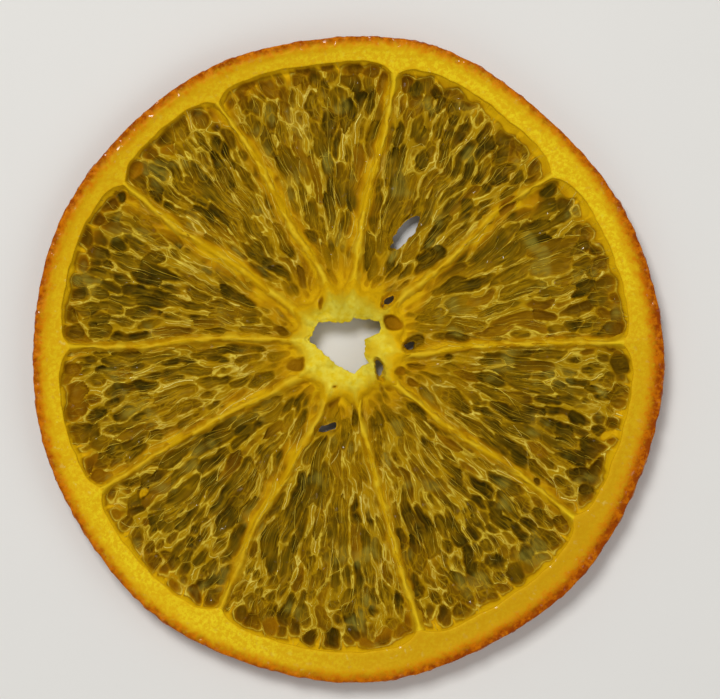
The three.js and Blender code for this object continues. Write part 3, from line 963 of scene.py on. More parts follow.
class SliceTints(bpy.types.PropertyGroup):
    """Colours of the slice, as they look on a screen."""

    pith: tint("Pith", 225, 198, 28, "Smooth pith of the cut band")
    pith_deep: tint("Deep pith", 206, 154, 8, "Pith where it is thinner and more orange")
    # Darker, more orange pith, laid round the slice by ORANGE_PITH and strongest towards the lower
    # right.
    pith_shade: tint("Orange pith", 185, 135, 9, "Pith on the riper sides of the slice")
    # Pith colour for its thin inner edge: partly its own colour, partly painted light shining
    # through the edge.
    brim_and_light: tint("Pith brim", 226, 176, 10, "Thin edge of the pith that glows")
    skin: tint("Peel", 200, 111, 3, "Outer skin of the peel")
    skin_dark: tint("Dark peel", 142, 56, 2, "Browned spots of the peel")
    window: tint("Film window", 31, 24, 1, "Clear film in the middle of a vesicle")
    film: tint("Film", 119, 89, 2, "Fibrous film between threads")
    film_dark: tint("Dark film", 73, 56, 2, "Clearer film between threads")
    golden: tint("Golden film", 178, 132, 2, "Film near the core")
    # Painted sheen of film catching the light, also the milky colour of loose film flaps.
    haze_and_sheen: tint("Hazy film", 148, 136, 48, "Milky film that catches the light")
    amber: tint("Amber film", 156, 102, 2, "Thicker film near the pith")
    amber_deep: tint("Deep amber film", 68, 37, 1, "Middle of an amber vesicle")
    band: tint("Wall band", 168, 116, 1, "Lower slope of a segment wall")
    web: tint("Web", 167, 128, 5, "Raised web where vesicles meet")
    membrane: tint("Membrane", 203, 159, 8, "Segment walls' sloping sides")
    wall: tint("Wall", 212, 178, 32, "Crest of a segment wall")
    thread: tint("Thread", 213, 188, 62, "Threads and the crests between vesicles")
    # Pale thread colour: partly the threads' own colour, partly painted highlight; also the colour
    # of the pith's painted glints.
    thread_pale_and_lit: tint("Pale thread", 230, 212, 110, "Threads that catch the light")
    core: tint("Core", 228, 208, 66, "Spongy pith round the torn hole")
    core_deep: tint("Deep core", 222, 190, 26, "Denser parts of the spongy pith")
    floor: tint("Floor", 222, 220, 215, "Floor of the render")


class Part:
    """A piece of mesh in the making: points in millimetres, quads and masks, and a place in the
    plan for baking for each corner of each quad."""

    def __init__(self, points, faces, masks, places=None):
        used = np.unique(faces)
        renumbered = np.zeros(len(points), np.int64)
        renumbered[used] = np.arange(len(used))
        self.points = points[used]
        self.faces = renumbered[faces]
        self.masks = {name: values[used] for name, values in masks.items()}
        self.places = points[faces][..., :2] if places is None else places

    def beside(self, other):
        """Joins another part on, with its plan for baking to the right of this one's."""
        low, high = other.places.min((0, 1)), self.places.max((0, 1))
        shift = high[0] - low[0] + 1.0, self.places.min((0, 1))[1] - low[1]
        points = np.vstack([self.points, other.points])
        faces = np.vstack([self.faces, other.faces + len(self.points)])
        masks = {name: np.concatenate([values, other.masks[name]])
                 for name, values in self.masks.items()}
        return Part(points, faces, masks, np.vstack([self.places, other.places + shift]))


def new_piece(name, part, finish):
    """A mesh piece that rides on the slice and stands for its solid."""
    mesh = bpy.data.meshes.new(name)
    mesh.from_pydata((part.points * MM).tolist(), [], part.faces.tolist())
    mesh.polygons.foreach_set("use_smooth", np.full(len(mesh.polygons), True))
    mesh.materials.append(finish.material)
    for mask, values in part.masks.items():
        kind, field = ("FLOAT_VECTOR", "vector") if values.ndim == 2 else ("FLOAT", "value")
        layer = mesh.attributes.new(mask, kind, "POINT")
        layer.data.foreach_set(field, values.astype(np.float32).ravel())
    low, high = part.places.min((0, 1)), part.places.max((0, 1))
    unit = 0.005 + 0.99 * (part.places - low) / (high - low).max()
    bake_map = mesh.uv_layers.new(name="OFBake")
    bake_map.uv.foreach_set("vector", unit.astype(np.float32).ravel())
    piece = bpy.data.objects.new(name, mesh)
    bpy.context.scene.collection.objects.link(piece)
    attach(piece, "root")
    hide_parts("orange_slice")
    return piece


def grid_faces(numbers):
    """Quads between the neighbours of a grid of point numbers."""
    corners = (numbers[:-1, :-1], numbers[:-1, 1:], numbers[1:, 1:], numbers[1:, :-1])
    return np.stack(corners, -1).reshape(-1, 4)


def grid_numbers(rows, columns):
    """The point numbers of a grid, row by row."""
    return np.arange(rows * columns).reshape(rows, columns)


def closed(numbers):
    """A grid of point numbers with its first column again at the end."""
    return np.hstack([numbers, numbers[:, :1]])


def slice_columns(total):
    """Columns round the slice as wall numbers and shares between walls, closest at the walls."""
    outer = np.append(WALL_ANGLES[:, -1], WALL_ANGLES[0, -1] + 360)
    counts = np.round(np.diff(outer) / 360 * total).astype(int)
    segment = np.repeat(np.arange(WALLS), counts)
    even = np.concatenate([np.arange(n) / n for n in counts])
    return segment, even - 0.065 * np.sin(TURN * even)


def column_direction(segment, share, distance):
    """The direction of each column at a distance, between its segment's two walls."""
    direction = np.empty(np.broadcast(segment, distance).shape)
    for k in range(WALLS):
        mine = segment == k
        start = wall_direction(k, distance[..., mine])
        end = wall_direction(k + 1, distance[..., mine])
        direction[..., mine] = mix(start, end, share[mine])
    return direction


def recentred(x, y):
    """Points moved so that the outline's box is centred where the frame's slice is."""
    around = np.linspace(0, TURN, 2000)
    outline = outline_radius(around) * np.array([np.cos(around), np.sin(around)])
    middle = (outline.min(1) + outline.max(1)) / 2
    centre = (SLICE_LOW + SLICE_HIGH) / 2 / MM
    return x - middle[0] + centre.x, y - middle[1] + centre.y


def pulp_rows(segment, share, core_steps, pulp_steps):
    """Distances of a sheet's rows from the hole's lip to just under the pith."""
    start = column_direction(segment, share, np.full(len(segment), CORE_RADIUS))
    end = column_direction(segment, share, np.full(len(segment), WALL_RADII[-1]))
    lip, core, edge = hole_radius(start), core_radius(start), pith_edge(end) + 0.3
    inner = mix(lip, core, np.linspace(0, 1, core_steps, endpoint=False)[:, None])
    even = np.linspace(0, 1, pulp_steps)[:, None]
    outer = mix(core, edge, even + 0.04 * np.sin(TURN * even / 2) ** 2 * (even > 0.5))
    return np.vstack([inner, outer])


class Sheet:
    """The grid of one cut face, from the hole's lip to the pith, to be cut into pieces."""

    def __init__(self, face, columns, core_steps, pulp_steps):
        self.face = face
        self.core_steps = core_steps
        self.segment, share = slice_columns(columns)
        distance = pulp_rows(self.segment, share, core_steps, pulp_steps)
        direction = column_direction(self.segment, share, distance)
        x, y = (values.ravel() for values in from_core(direction, distance))
        self.lip = x[:len(self.segment)].copy(), y[:len(self.segment)].copy()
        self.numbers = np.arange(distance.size).reshape(distance.shape)
        faces = grid_faces(closed(self.numbers))
        gone = tear_distance(x, y)[faces].mean(1) < 0
        edge = np.intersect1d(faces[gone], faces[~gone])
        self._move_to_tear(x, y, edge)
        self.relief = face.relief(x, y)
        self.points = np.column_stack([*recentred(x, y), self.relief.height])
        self.starts_gone = np.zeros(len(x), bool)
        self.starts_gone[faces[gone, 0]] = True

    def _move_to_tear(self, x, y, edge):
        """Moves the points along a tear's edge onto its outline."""
        step = 0.02
        for _ in range(3):
            torn = tear_distance(x[edge], y[edge])
            slope_x = (tear_distance(x[edge] + step, y[edge]) - torn) / step
            slope_y = (tear_distance(x[edge], y[edge] + step) - torn) / step
            steep = np.maximum(slope_x**2 + slope_y**2, 0.5)
            x[edge] -= torn * slope_x / steep
            y[edge] -= torn * slope_y / steep

    def cut(self, rows, columns):
        """A part of the sheet, facing up on the upper face and down on the lower face."""
        numbers = closed(self.numbers)[rows, columns]
        faces = grid_faces(numbers)
        faces = faces[~self.starts_gone[faces[:, 0]]]
        faces = faces if self.face.side == 0 else faces[:, ::-1]
        return Part(self.points, faces, self.relief.masks)

    def core(self):
        return self.cut(slice(0, self.core_steps + 1), slice(None))

    def pulp(self, segment):
        mine = np.flatnonzero(self.segment == segment)
        return self.cut(slice(self.core_steps, None), slice(mine[0], mine[-1] + 2))


def hole_wall(upper, steps):
    """The torn wall of the hole, from the upper sheet's lip down to the lower one's."""
    x, y = upper.lip
    columns = len(x)
    around = np.arctan2(y - CORE[1], x - CORE[0])
    share = np.linspace(0, 1, steps)[:, None]
    height = np.repeat(mix(*LIP_AT, share), columns, axis=1)
    worn = layered_noise(around * 3.2, 1.4 * height, 1.1, 55, 3)
    worn = np.maximum(0.1 + 0.26 * worn, -0.04) * np.sin(math.pi * share)
    x = x + worn * np.cos(around)
    y = y + worn * np.sin(around)
    points = np.column_stack([*recentred(x.ravel(), y.ravel()), height.ravel()])
    masks = {name: np.concatenate([values[:columns]] * steps)
             for name, values in upper.relief.masks.items()}
    faces = grid_faces(closed(grid_numbers(steps, columns)))
    row, column = np.divmod(grid_faces(grid_numbers(steps, columns + 1)), columns + 1)
    return Part(points, faces, masks, np.stack([column * 0.02, row * 0.4], -1))


def spongy_pith(finish, place, tints):
    """The soft mottled colour of the core."""
    spongy = finish.speckle(place, 1500.0, 3.0, 0.6)
    return finish.blend(finish.between(spongy, 0.35, 0.68), tints.core, tints.core_deep)


def pulp_finish(tints):
    """Dried film: dark clear windows, wispy strands, amber hollows, webs and a pale core."""
    finish = Finish("dried_pulp")
    flow = finish.place("flow")
    place = finish.object_place()
    streaks = finish.speckle(finish.stretched(flow, 2.6, 0.45), 1.0, 5.0, 0.62, 0.4)
    clouds = finish.speckle(place, 230.0, 3.0)
    patches = finish.speckle(place, 420.0, 2.0)
    wisps = finish.wisps(finish.stretched(flow, 1.5, 0.38), 0.045)
    fine_wisps = finish.wisps(finish.stretched(flow, 3.1, 0.75, 1.7), 0.05)
    loose_wisps = finish.wisps(finish.stretched(flow, 2.1, 1.1, 2.3), 0.03)
    from_edge = finish.from_edge(finish.warped(flow, 0.9, 0.8), 1.25)
    net = finish.between(from_edge, 0.02, 0.085, 1.0, 0.0) * finish.between(clouds, 0.42, 0.6)
    pores = finish.between(from_edge, 0.1, 0.3) * finish.between(patches, 0.45, 0.6)
    strands = wisps * finish.between(patches, 0.38, 0.55) * 0.6
    strands = strands + fine_wisps * finish.between(clouds, 0.35, 0.6) * 0.35
    strands = finish.capped(strands + loose_wisps * finish.between(patches, 0.5, 0.62) * 0.4)
    ragged = finish.mask("depth") + (streaks - 0.5) * 0.16

    strength = finish.mask("strength")
    window = finish.between(ragged, 0.06, 0.42) * finish.mask("dark")
    web = finish.between(ragged, 0.03, 0.22, 1.0, 0.0) * strength
    crest = finish.line(ragged, 0.0, 0.02, 0.1) * strength * finish.between(patches, 0.38, 0.6)
    film = finish.blend(finish.between(streaks, 0.3, 0.7), tints.film_dark, tints.film)
    film = finish.blend(finish.between(clouds, 0.4, 0.7, 0.0, 0.4), film, tints.amber)
    film = finish.blend(finish.mask("golden") * 0.75, film, tints.golden)
    film = finish.blend(pores * (1.0 - web) * 0.4, film, tints.window)
    film = finish.blend(window * finish.between(streaks, 0.35, 0.7, 1.0, 0.75), film, tints.window)
    amber = finish.mask("amber")
    film = finish.blend(amber * 0.85, film, tints.amber)
    film = finish.blend(amber * window * 0.85, film, tints.amber_deep)
    # Painted sheen where the film catches light, and the milky loose flaps.
    film = finish.blend(finish.mask("haze_and_sheen") * finish.between(streaks, 0.3, 0.7, 0.2, 0.6),
                        film, tints.haze_and_sheen)
    film = finish.blend(strands * (1.0 - window * 0.85) * (1.0 - amber * 0.7), film, tints.web)
    film = finish.blend(net * (1.0 - window * 0.7) * (1.0 - amber * 0.5) * 0.6, film, tints.web)
    film = finish.blend(web * finish.between(streaks, 0.3, 0.6, 0.6, 1.0), film, tints.web)
    # The crests between vesicles painted pale yellow: partly the fibres' own colour, partly painted
    # highlight where ridges catch light.
    cream_and_highlight = finish.between(clouds, 0.45, 0.65, 0.0, 0.5)
    cream_and_highlight = finish.blend(cream_and_highlight, tints.thread, tints.thread_pale_and_lit)
    film = finish.blend(crest * finish.between(streaks, 0.35, 0.6, 0.3, 1.0), film, cream_and_highlight)
    membrane = finish.mask("membrane")
    film = finish.blend(finish.between(membrane, 0.12, 0.55, 0.0, 0.9), film, tints.band)
    film = finish.blend(finish.between(membrane, 0.35, 0.85), film, tints.membrane)
    # Painted light: the pith's edge, fillet corners and membranes near the core lightened to the
    # brim tint.
    film = finish.blend(finish.mask("brim_and_light"), film, tints.brim_and_light)
    pale = finish.mask("pale")
    film = finish.blend(finish.between(pale, 0.05, 0.45), film, tints.wall)
    colour = finish.blend(finish.between(pale + (clouds - 0.5) * 0.5, 0.4, 0.95),
                          film, spongy_pith(finish, place, tints))

    finish.set(
        Base_Color=colour,
        Roughness=finish.between(clouds, 0.3, 0.7, 0.6, 0.4),
        Normal=finish.bump(streaks * 0.4 + crest * 0.4 + net * 0.3, 0.00014, 0.8),
        Specular_IOR_Level=0.2,
        Specular_Tint=GLOSS,
        Coat_Weight=finish.between(finish.speckle(place, 1300.0, 2.0), 0.68, 0.74) * (1.0 - pale),
        Coat_Roughness=0.1,
    )
    return finish


def tubes(runs):
    """Thin tubes, each from its points in millimetres, its radii, its paleness, partly a painted
    highlight, and how sunk.
    """
    sides = THREAD_SIDES
    turn = TURN * (np.arange(sides) + 0.5) / sides
    points, faces, pales, sunks, base = [], [], [], [], 0
    for line, radius, pale, sunk in runs:
        along = np.gradient(line, axis=0)
        side = np.column_stack([-along[:, 1], along[:, 0], np.zeros(len(line))])
        side /= np.maximum(np.linalg.norm(side, axis=1, keepdims=True), 1e-9)
        around = np.cos(turn)[None, :, None] * side[:, None] + [0, 0, 1] * (
            np.sin(turn)[:, None] * THREAD_FLATNESS)
        points.append((line[:, None] + around * radius[:, None, None]).reshape(-1, 3))
        numbers = np.arange(len(line) * sides).reshape(len(line), sides)
        faces.append(grid_faces(closed(numbers)) + base)
        pales.append(np.full(len(line) * sides, pale))
        sunks.append(np.repeat(sunk, sides))
        base += len(line) * sides
    masks = {"thread_pale_and_lit": np.concatenate(pales), "sunk": np.concatenate(sunks)}
    return Part(np.vstack(points), np.vstack(faces), masks)


def curved_side(start, end, segment, random):
    """A side between two vesicles as a gently bowed line of plan points."""
    start, end = np.array(start), np.array(end)
    share = np.linspace(0, 1, 10)
    gap = end - start
    bow = np.sin(math.pi * share) * random.uniform(-0.15, 0.15)
    bow = bow + np.sin(TURN * share) * random.uniform(-0.08, 0.08)
    plane = start + share[:, None] * gap + bow[:, None] * np.array([-gap[1], gap[0]])
    x, y = from_flow(plane, segment)
    return np.column_stack([x + 0.05 * noise(x, y, 0.5, 501), y + 0.05 * noise(x, y, 0.5, 502)])


def fibre_line(segment, stray, random):
    """A fine fibre along the flow of the vesicles, or across it by up to the share stray."""
    start, end = wall_direction(segment, 20.0), wall_direction(segment + 1, 20.0)
    direction = random.uniform(start, end)
    distance = math.sqrt(random.uniform(6.5**2, 33**2))
    place = CORE[0] + distance * math.cos(direction), CORE[1] + distance * math.sin(direction)
    plane, from_apex = to_flow(np.array([place[0]]), np.array([place[1]]), segment)
    length = random.uniform(1.6, 5.5) / (from_apex[0] * 2.6)
    share = np.linspace(0, 1, 8)
    drift = random.uniform(-stray, stray) * length
    wave = random.uniform(0.02, 0.06) * length * np.sin(TURN * (share * random.uniform(0.6, 1.6)))
    across = plane[0, 0] + drift * share**2 + wave
    along = plane[0, 1] + length * share
    return np.column_stack(from_flow(np.column_stack([across, along]), segment))


def inside_runs(line, segment):
    """The stretches of a line that lie in their own segment's pulp."""
    at = survey(line[:, 0], line[:, 1])
    inside = (at.segment == segment) & (at.to_pith > -0.15) & (at.past_core > -0.5)
    runs, current = [], []
    for i, good in enumerate(inside):
        if good:
            current.append(i)
        if current and (not good or i == len(line) - 1):
            if len(current) > 2:
                runs.append(line[current[0]:current[-1] + 1])
            current = []
    return runs


# Every so many fibres, one strays across the flow. The weakest webs carry no thread, and a share
# of the others has lost its own.
STRAY_EVERY = 14
WEAKEST_THREAD = 0.35
THREADS_LOST = 0.2

# A thread's cross-section: how many sides it has, and its height as a share of its width.
THREAD_SIDES = 4
THREAD_FLATNESS = 0.8


def thread_runs(face, sizes, fibres, random):
    """Every thread and fibre of a face: plan points, radius along it and how pale it is, partly its
    own colour and partly a painted highlight.
    """
    runs = []
    thick, thin = sizes.thread_width / MM / 2, sizes.fibre_width / MM / 2
    for k, vesicles in enumerate(face.vesicles):
        for start, end, web in vesicles.sides:
            if web < WEAKEST_THREAD or random.random() < THREADS_LOST:
                continue
            width = thick * min(random.lognormal(0, 0.4), 1.5) * (0.35 + 0.4 * min(web, 1.3))
            for line in inside_runs(curved_side(start, end, k, random), k):
                share = np.linspace(-1, 1, len(line))
                radius = width * (0.8 + 0.6 * np.abs(share) ** 3)
                radius = radius * (1 + 0.4 * noise(line[:, 0], line[:, 1], 0.6, 510))
                runs.append((line, radius, random.random() * (0.3 + 0.5 * web)))
        for i in range(fibres):
            width = thin * random.lognormal(0, 0.3)
            stray, pale = (1.6, 1.0) if i % STRAY_EVERY == 0 else (0.3, 0.7)
            for line in inside_runs(fibre_line(k, stray, random), k):
                share = np.linspace(-1, 1, len(line))
                runs.append((line, width * (1.15 - share**2), random.random() * pale))
    return runs


def thread_part(face, sizes, fibres, seed):
    """The net of threads and fibres that lies on one sheet of pulp."""
    runs = thread_runs(face, sizes, fibres, np.random.default_rng(seed))
    plan = np.vstack([line for line, _, _ in runs])
    relief = face.relief(plan[:, 0], plan[:, 1])
    x, y = recentred(plan[:, 0], plan[:, 1])
    outward = 1 if face.side == 0 else -1
    lines, start = [], 0
    for line, radius, pale in runs:
        rows = slice(start, start + len(line))
        start += len(line)
        free = relief.torn[rows].min() > 0.05 and relief.clear[rows].max() < 0.3
        if free and relief.masks["golden"][rows].mean() < 0.42:
            height = relief.height[rows] + outward * radius * 0.35
            line = np.column_stack([x[rows], y[rows], height])
            lines.append((line, radius, pale, relief.sunk[rows]))
    return tubes(lines)


def thread_finish(tints):
    """Cream-yellow threads, some pale, partly their own colour and partly painted highlight, and
    some sunk in amber film.
    """
    finish = Finish("dried_threads")
    place = finish.object_place()
    mottle = finish.speckle(place, 900.0, 3.0)
    # Threads made paler at random: partly their own colour, partly painted highlight.
    pale = finish.between(finish.mask("thread_pale_and_lit") + mottle * 0.5, 0.75, 1.35)
    colour = finish.blend(finish.between(mottle, 0.35, 0.65), tints.web, tints.thread)
    colour = finish.blend(pale, colour, tints.thread_pale_and_lit)
    finish.set(
        Base_Color=finish.blend(finish.mask("sunk") * 0.65, colour, tints.film),
        Roughness=finish.between(mottle, 0.3, 0.7, 0.35, 0.55),
        Specular_IOR_Level=0.35,
        Specular_Tint=GLOSS,
    )
    return finish


def wall_lines(side):
    """Each wall's crest: plan points, rises, half widths, how near its ends, how faint and where
    it heads."""
    lines = []
    for k in range(WALLS):
        share = np.linspace(0, 1, 130)
        far = float(pith_edge(np.array([wall_direction(k, WALL_RADII[-1])]))[0]) + 1.1
        near = float(core_radius(np.array([wall_direction(k, WALL_RADII[0])]))[0]) - 1.7
        distance = mix(near, far, share)
        direction = wall_direction(k, distance)
        x, y = from_core(direction, distance)
        wander = 0.19 * layered_noise(x, y, 3.0, 300 + k, 3)
        x, y = x - wander * np.sin(direction), y + wander * np.cos(direction)
        sag = 0.22 * np.sin(math.pi * share) + 0.1 * layered_noise(x, y, 2.2, 320 + k + side, 2)
        rise = mix(1.15, 1.47, ramp(distance, far - 3.2, far - 0.9)) - sag * (1 - share**6)
        rise = rise - 0.12 * ramp(distance, far - 0.7, far)
        rise = rise - 0.55 * ramp(-distance, -near - 3.4, -near - 0.4)
        faint = ramp(layered_noise(x, y, 3.5, 360 + k, 3), -0.1, 0.7)
        faint = faint * np.sin(math.pi * share) ** 2
        rise = rise - 0.3 * faint
        faint = np.clip(faint + WALL_FAINT[k], 0, 1)
        half = 0.155 + 0.09 * layered_noise(x, y, 1.7, 340 + k, 3)
        half = half + 0.11 * np.exp(-np.maximum(far - 1.1 - distance, 0) / 0.8)
        half = half + 0.16 * np.exp(-(distance - near) / 3.0)
        ends = ramp(distance, far - 4.5, far - 1.0) + ramp(-distance, -near - 4.0, -near - 1.0)
        lines.append((np.column_stack([x, y]), rise, half, ends, faint, direction))
    return lines


# A wall's crest across: offsets in half widths, and how far up each is from the sheet.
WALL_SECTION = np.array(((-3.2, 0.0), (-2.1, 0.24), (-1.2, 0.68), (-0.55, 0.94), (0.0, 1.0),
                         (0.55, 0.94), (1.2, 0.68), (2.1, 0.24), (3.2, 0.0)))


def wall_part(face):
    """The narrow raised crests of the ten segment walls on one face, rising from its sheet."""
    points, faces, ends, dim, pale = [], [], [], [], []
    base = 0
    for line, rise, half, root, faint, direction in wall_lines(face.side):
        across = np.column_stack([-np.sin(direction), np.cos(direction)])
        along = line[:, 1:] + 9 * WALL_SECTION[:, 0]
        flare = 1 + 0.45 * layered_noise(line[:, :1], along, 2.0, 380)
        offset = WALL_SECTION[:, 0] * half[:, None] * np.clip(flare, 0.45, 1.8)
        plan = line[:, None] + across[:, None] * offset[..., None]
        pocket, _ = pocket_field(plan[..., 0], plan[..., 1])
        free = ramp(tear_distance(plan[..., 0], plan[..., 1]), 0.0, 0.5) * ramp(-pocket, -0.1, 0.4)
        plan = line[:, None] + across[:, None] * (offset * mix(0.25, 1.0, free))[..., None]
        relief = face.relief(plan[..., 0].ravel(), plan[..., 1].ravel())
        sheet = relief.height.reshape(plan.shape[:2]) - 0.05 * RISE_SCALE[face.side]
        crest = FLOOR_AT[face.side] + RISE_SCALE[face.side] * rise[:, None]
        height = mix(sheet, crest, WALL_SECTION[:, 1])
        x, y = recentred(plan[..., 0], plan[..., 1])
        points.append(np.stack([x, y, height], -1).reshape(-1, 3))
        numbers = np.arange(x.size).reshape(x.shape)
        quads = grid_faces(numbers if face.side == 1 else numbers[:, ::-1])
        quads = quads[relief.torn[quads].min(1) > 0.35]
        faces.append(quads + base)
        ends.append(np.repeat(root, len(WALL_SECTION)))
        slope = 1 - ramp(WALL_SECTION[:, 1], 0.1, 0.8)
        dim.append((slope + (1 - slope) * faint[:, None]).ravel())
        pale.append(relief.masks["pale"])
        base += x.size
    points = np.vstack(points)
    masks = {"root": np.clip(np.concatenate(ends), 0, 1), "dim": np.concatenate(dim),
             "pale": np.concatenate(pale)}
    return Part(points, np.vstack(faces), masks)


def wall_finish(tints):
    """Bright, slightly fibrous wall crests that melt into the pith."""
    finish = Finish("segment_walls")
    place = finish.object_place()
    mottle = finish.speckle(place, 700.0, 4.0)
    colour = finish.blend(finish.between(mottle, 0.3, 0.7), tints.membrane, tints.wall)
    root = finish.blend(finish.between(mottle, 0.3, 0.7, 0.25, 0.75), tints.pith, tints.pith_deep)
    colour = finish.blend(finish.mask("root"), colour, root)
    colour = finish.blend(finish.mask("dim") * finish.between(mottle, 0.3, 0.6, 0.85, 0.4),
                          colour, tints.band)
    colour = finish.blend(finish.between(finish.mask("pale"), 0.4, 0.9),
                          colour, spongy_pith(finish, place, tints))
    finish.set(
        Base_Color=colour,
        Roughness=finish.between(mottle, 0.3, 0.7, 0.4, 0.55),
        Normal=finish.bump(mottle, 0.00008, 0.6),
        Specular_IOR_Level=0.3,
        Specular_Tint=GLOSS,
    )
    return finish


# The band's section: steps from the inner edge (in), or from the outline (out), and heights.
BAND_TOP = (
    ("in", 0.0, 2.3), ("in", 0.005, 2.95), ("in", 0.02, 3.27), ("in", 0.05, 3.42),
    ("in", 0.11, 3.49), ("in", 0.24, 3.52), ("in", 0.6, 3.55), ("in", 1.15, 3.6),
    ("in", 1.5, 3.66), ("out", 1.75, 3.74), ("out", 1.5, 3.8), ("out", 1.28, 3.85),
    ("out", 1.08, 3.89), ("out", 0.9, 3.92), ("out", 0.73, 3.94), ("out", 0.58, 3.94),
    ("out", 0.44, 3.9), ("out", 0.31, 3.83), ("out", 0.2, 3.72), ("out", 0.11, 3.57),
    ("out", 0.05, 3.39), ("out", 0.02, 3.18),
)
BAND_UNDER = (
    ("out", 0.02, 0.66), ("out", 0.06, 0.46), ("out", 0.13, 0.28), ("out", 0.24, 0.13),
    ("out", 0.4, 0.04), ("out", 0.62, 0.0), ("out", 0.95, 0.0), ("out", 1.35, 0.0),
    ("out", 1.75, 0.0), ("in", 1.4, 0.12), ("in", 1.0, 0.22), ("in", 0.6, 0.32),
    ("in", 0.3, 0.46), ("in", 0.1, 0.75), ("in", 0.0, 1.15), ("in", 0.35, 1.7),
)
# The band's columns round the slice, the rows down the peel's side, and how far that side is drawn
# in at BARREL_AT above and below its middle, so that it bulges.
BAND_COLUMNS = 1100
BAND_SIDE_STEPS = 12
BARREL = 0.14
BARREL_AT = 1.2


def band_section(inner, outer):
    """The band's rows round the slice: distances and heights, from the film up, over and under."""
    side = [("out", 0.0, z) for z in np.linspace(3.0, 0.85, BAND_SIDE_STEPS)]
    rows = [*BAND_TOP, *side, *BAND_UNDER]
    squeeze = np.minimum(1, (outer - inner) / 3.4)
    distance = np.stack([inner + step * squeeze if end == "in" else outer - step * squeeze
                         for end, step, _ in rows])
    height = np.array([z for _, _, z in rows])[:, None] + np.zeros(len(inner))
    return distance, height


def gland_pits(arc, run, spacing):
    """Pits of oil glands on the peel: 1 in the middle of a pit and 0 between pits."""
    pits = np.zeros(np.broadcast(arc, run).shape)
    columns = int(round(TURN * SLICE_RADIUS / spacing))
    cell = TURN * SLICE_RADIUS / columns
    column, row = np.floor(arc / cell), np.floor(run / (cell * 0.87))
    for i in (-1, 0, 1):
        for j in (-1, 0, 1):
            home, line = (column + i) % columns, row + j
            key = np.sin(home * 12.9898 + line * 78.233) * 43758.5453
            jitter = key - np.floor(key)
            other = (jitter * 57.31) % 1.0
            middle_x = (column + i + 0.5 + 0.5 * (line % 2) + 0.8 * (jitter - 0.5)) * cell
            middle_y = (line + 0.5 + 0.7 * (other - 0.5)) * cell * 0.87
            size = cell * (0.2 + 0.22 * other)
            gap = np.hypot(arc - middle_x, run - middle_y) / size
            pits = np.maximum(pits, np.exp(-(gap**2)) * (0.15 + 0.85 * jitter * (2 - jitter)))
    return pits


def swells(direction, peaks):
    """What swells round the slice, from where it peaks and how strongly."""
    return sum(strength * ramp(np.cos(direction - math.radians(peak)), 0.3, 1.08)
               for peak, strength in peaks)


def peel_relief(arc, run, direction, outer, sizes):
    """How far the skin is drawn in by its unevenness, and the pits of its oil glands."""
    lumps = layered_noise(arc, run, 1.3, 400, 3)
    bumps = layered_noise(outer * np.cos(direction), outer * np.sin(direction), 2.1, 410, 3)
    uneven = np.maximum(0.2 + 0.12 * lumps + 0.2 * bumps, 0.03)
    return uneven, gland_pits(arc, run, sizes.gland_spacing / MM)


def make_band(sizes, finish):
    """The closed band of peel and pith, with oil glands in its skin."""
    segment, share = slice_columns(BAND_COLUMNS)
    direction = column_direction(segment, share, np.full(len(segment), WALL_RADII[-1]))
    inner, outer = pith_edge(direction), outline_reach(direction)
    distance, height = band_section(inner, outer)
    rows, columns = distance.shape
    steps = np.hypot(np.diff(distance, axis=0), np.diff(height, axis=0))
    run = np.concatenate([np.zeros((1, columns)), np.cumsum(steps, axis=0)])
    arc = np.broadcast_to(direction % TURN * SLICE_RADIUS, run.shape)

    inset = outer - distance
    skin = 1 - ramp(inset, 0.75, 1.55)
    uneven, pits = peel_relief(arc, run, direction, outer, sizes)
    pits = pits * skin
    inward = skin * uneven + sizes.gland_depth / MM * pits
    from_middle = np.abs(height - HEIGHT / 2)
    steep = 1 - ramp(from_middle, 1.1, 2.0)
    drawn = (inward + BARREL * (from_middle / BARREL_AT) ** 2) * steep
    x, y = from_core(direction, distance)
    x, y = x - drawn * np.cos(direction), y - drawn * np.sin(direction)
    soft = 0.05 * layered_noise(x, y, 3.5, 430, 2) * (1 - skin) * ramp(distance - inner, 0, 0.8)
    top = height > HEIGHT / 2
    sunk = inward * (1 - steep)
    height = np.clip(np.where(top, height - sunk + soft, height + sunk), 0, HEIGHT)
    x, y = recentred(x, y)

    masks = {
        "inset": np.minimum(inset, outer - inner),
        "gland": pits,
        # The pith's inner edge on the top, lightened in the finish: partly its own colour, partly
        # painted light through the thin edge.
        "brim_and_light": np.exp(-(((distance - inner) / 0.22) ** 2)) * top,
        "around": np.stack([arc, run, 0 * arc], -1),
        "brown": np.broadcast_to(swells(direction, BROWN_PEEL), run.shape),
        "orange": np.broadcast_to(swells(direction, ORANGE_PITH), run.shape),
    }
    masks = {name: values.reshape(rows * columns, *values.shape[2:])
             for name, values in masks.items()}
    numbers = closed(grid_numbers(rows, columns))
    faces = grid_faces(np.vstack([numbers, numbers[:1]]))[:, ::-1]
    points = np.stack([x, y, height], -1).reshape(-1, 3)
    new_piece("peel_and_pith", Part(points, faces, masks, band_places(rows, columns)), finish)


def band_places(rows, columns):
    """The band's plan for baking: four stretches side by side, each cut open along a row."""
    row, column = np.divmod(grid_faces(grid_numbers(rows + 1, columns + 1))[:, ::-1], columns + 1)
    stretch = column.min(1, keepdims=True) * 4 // columns
    along = (column - stretch * columns / 4) * 0.21
    return np.stack([row * 0.3 + stretch * (rows * 0.3 + 1), along], -1)


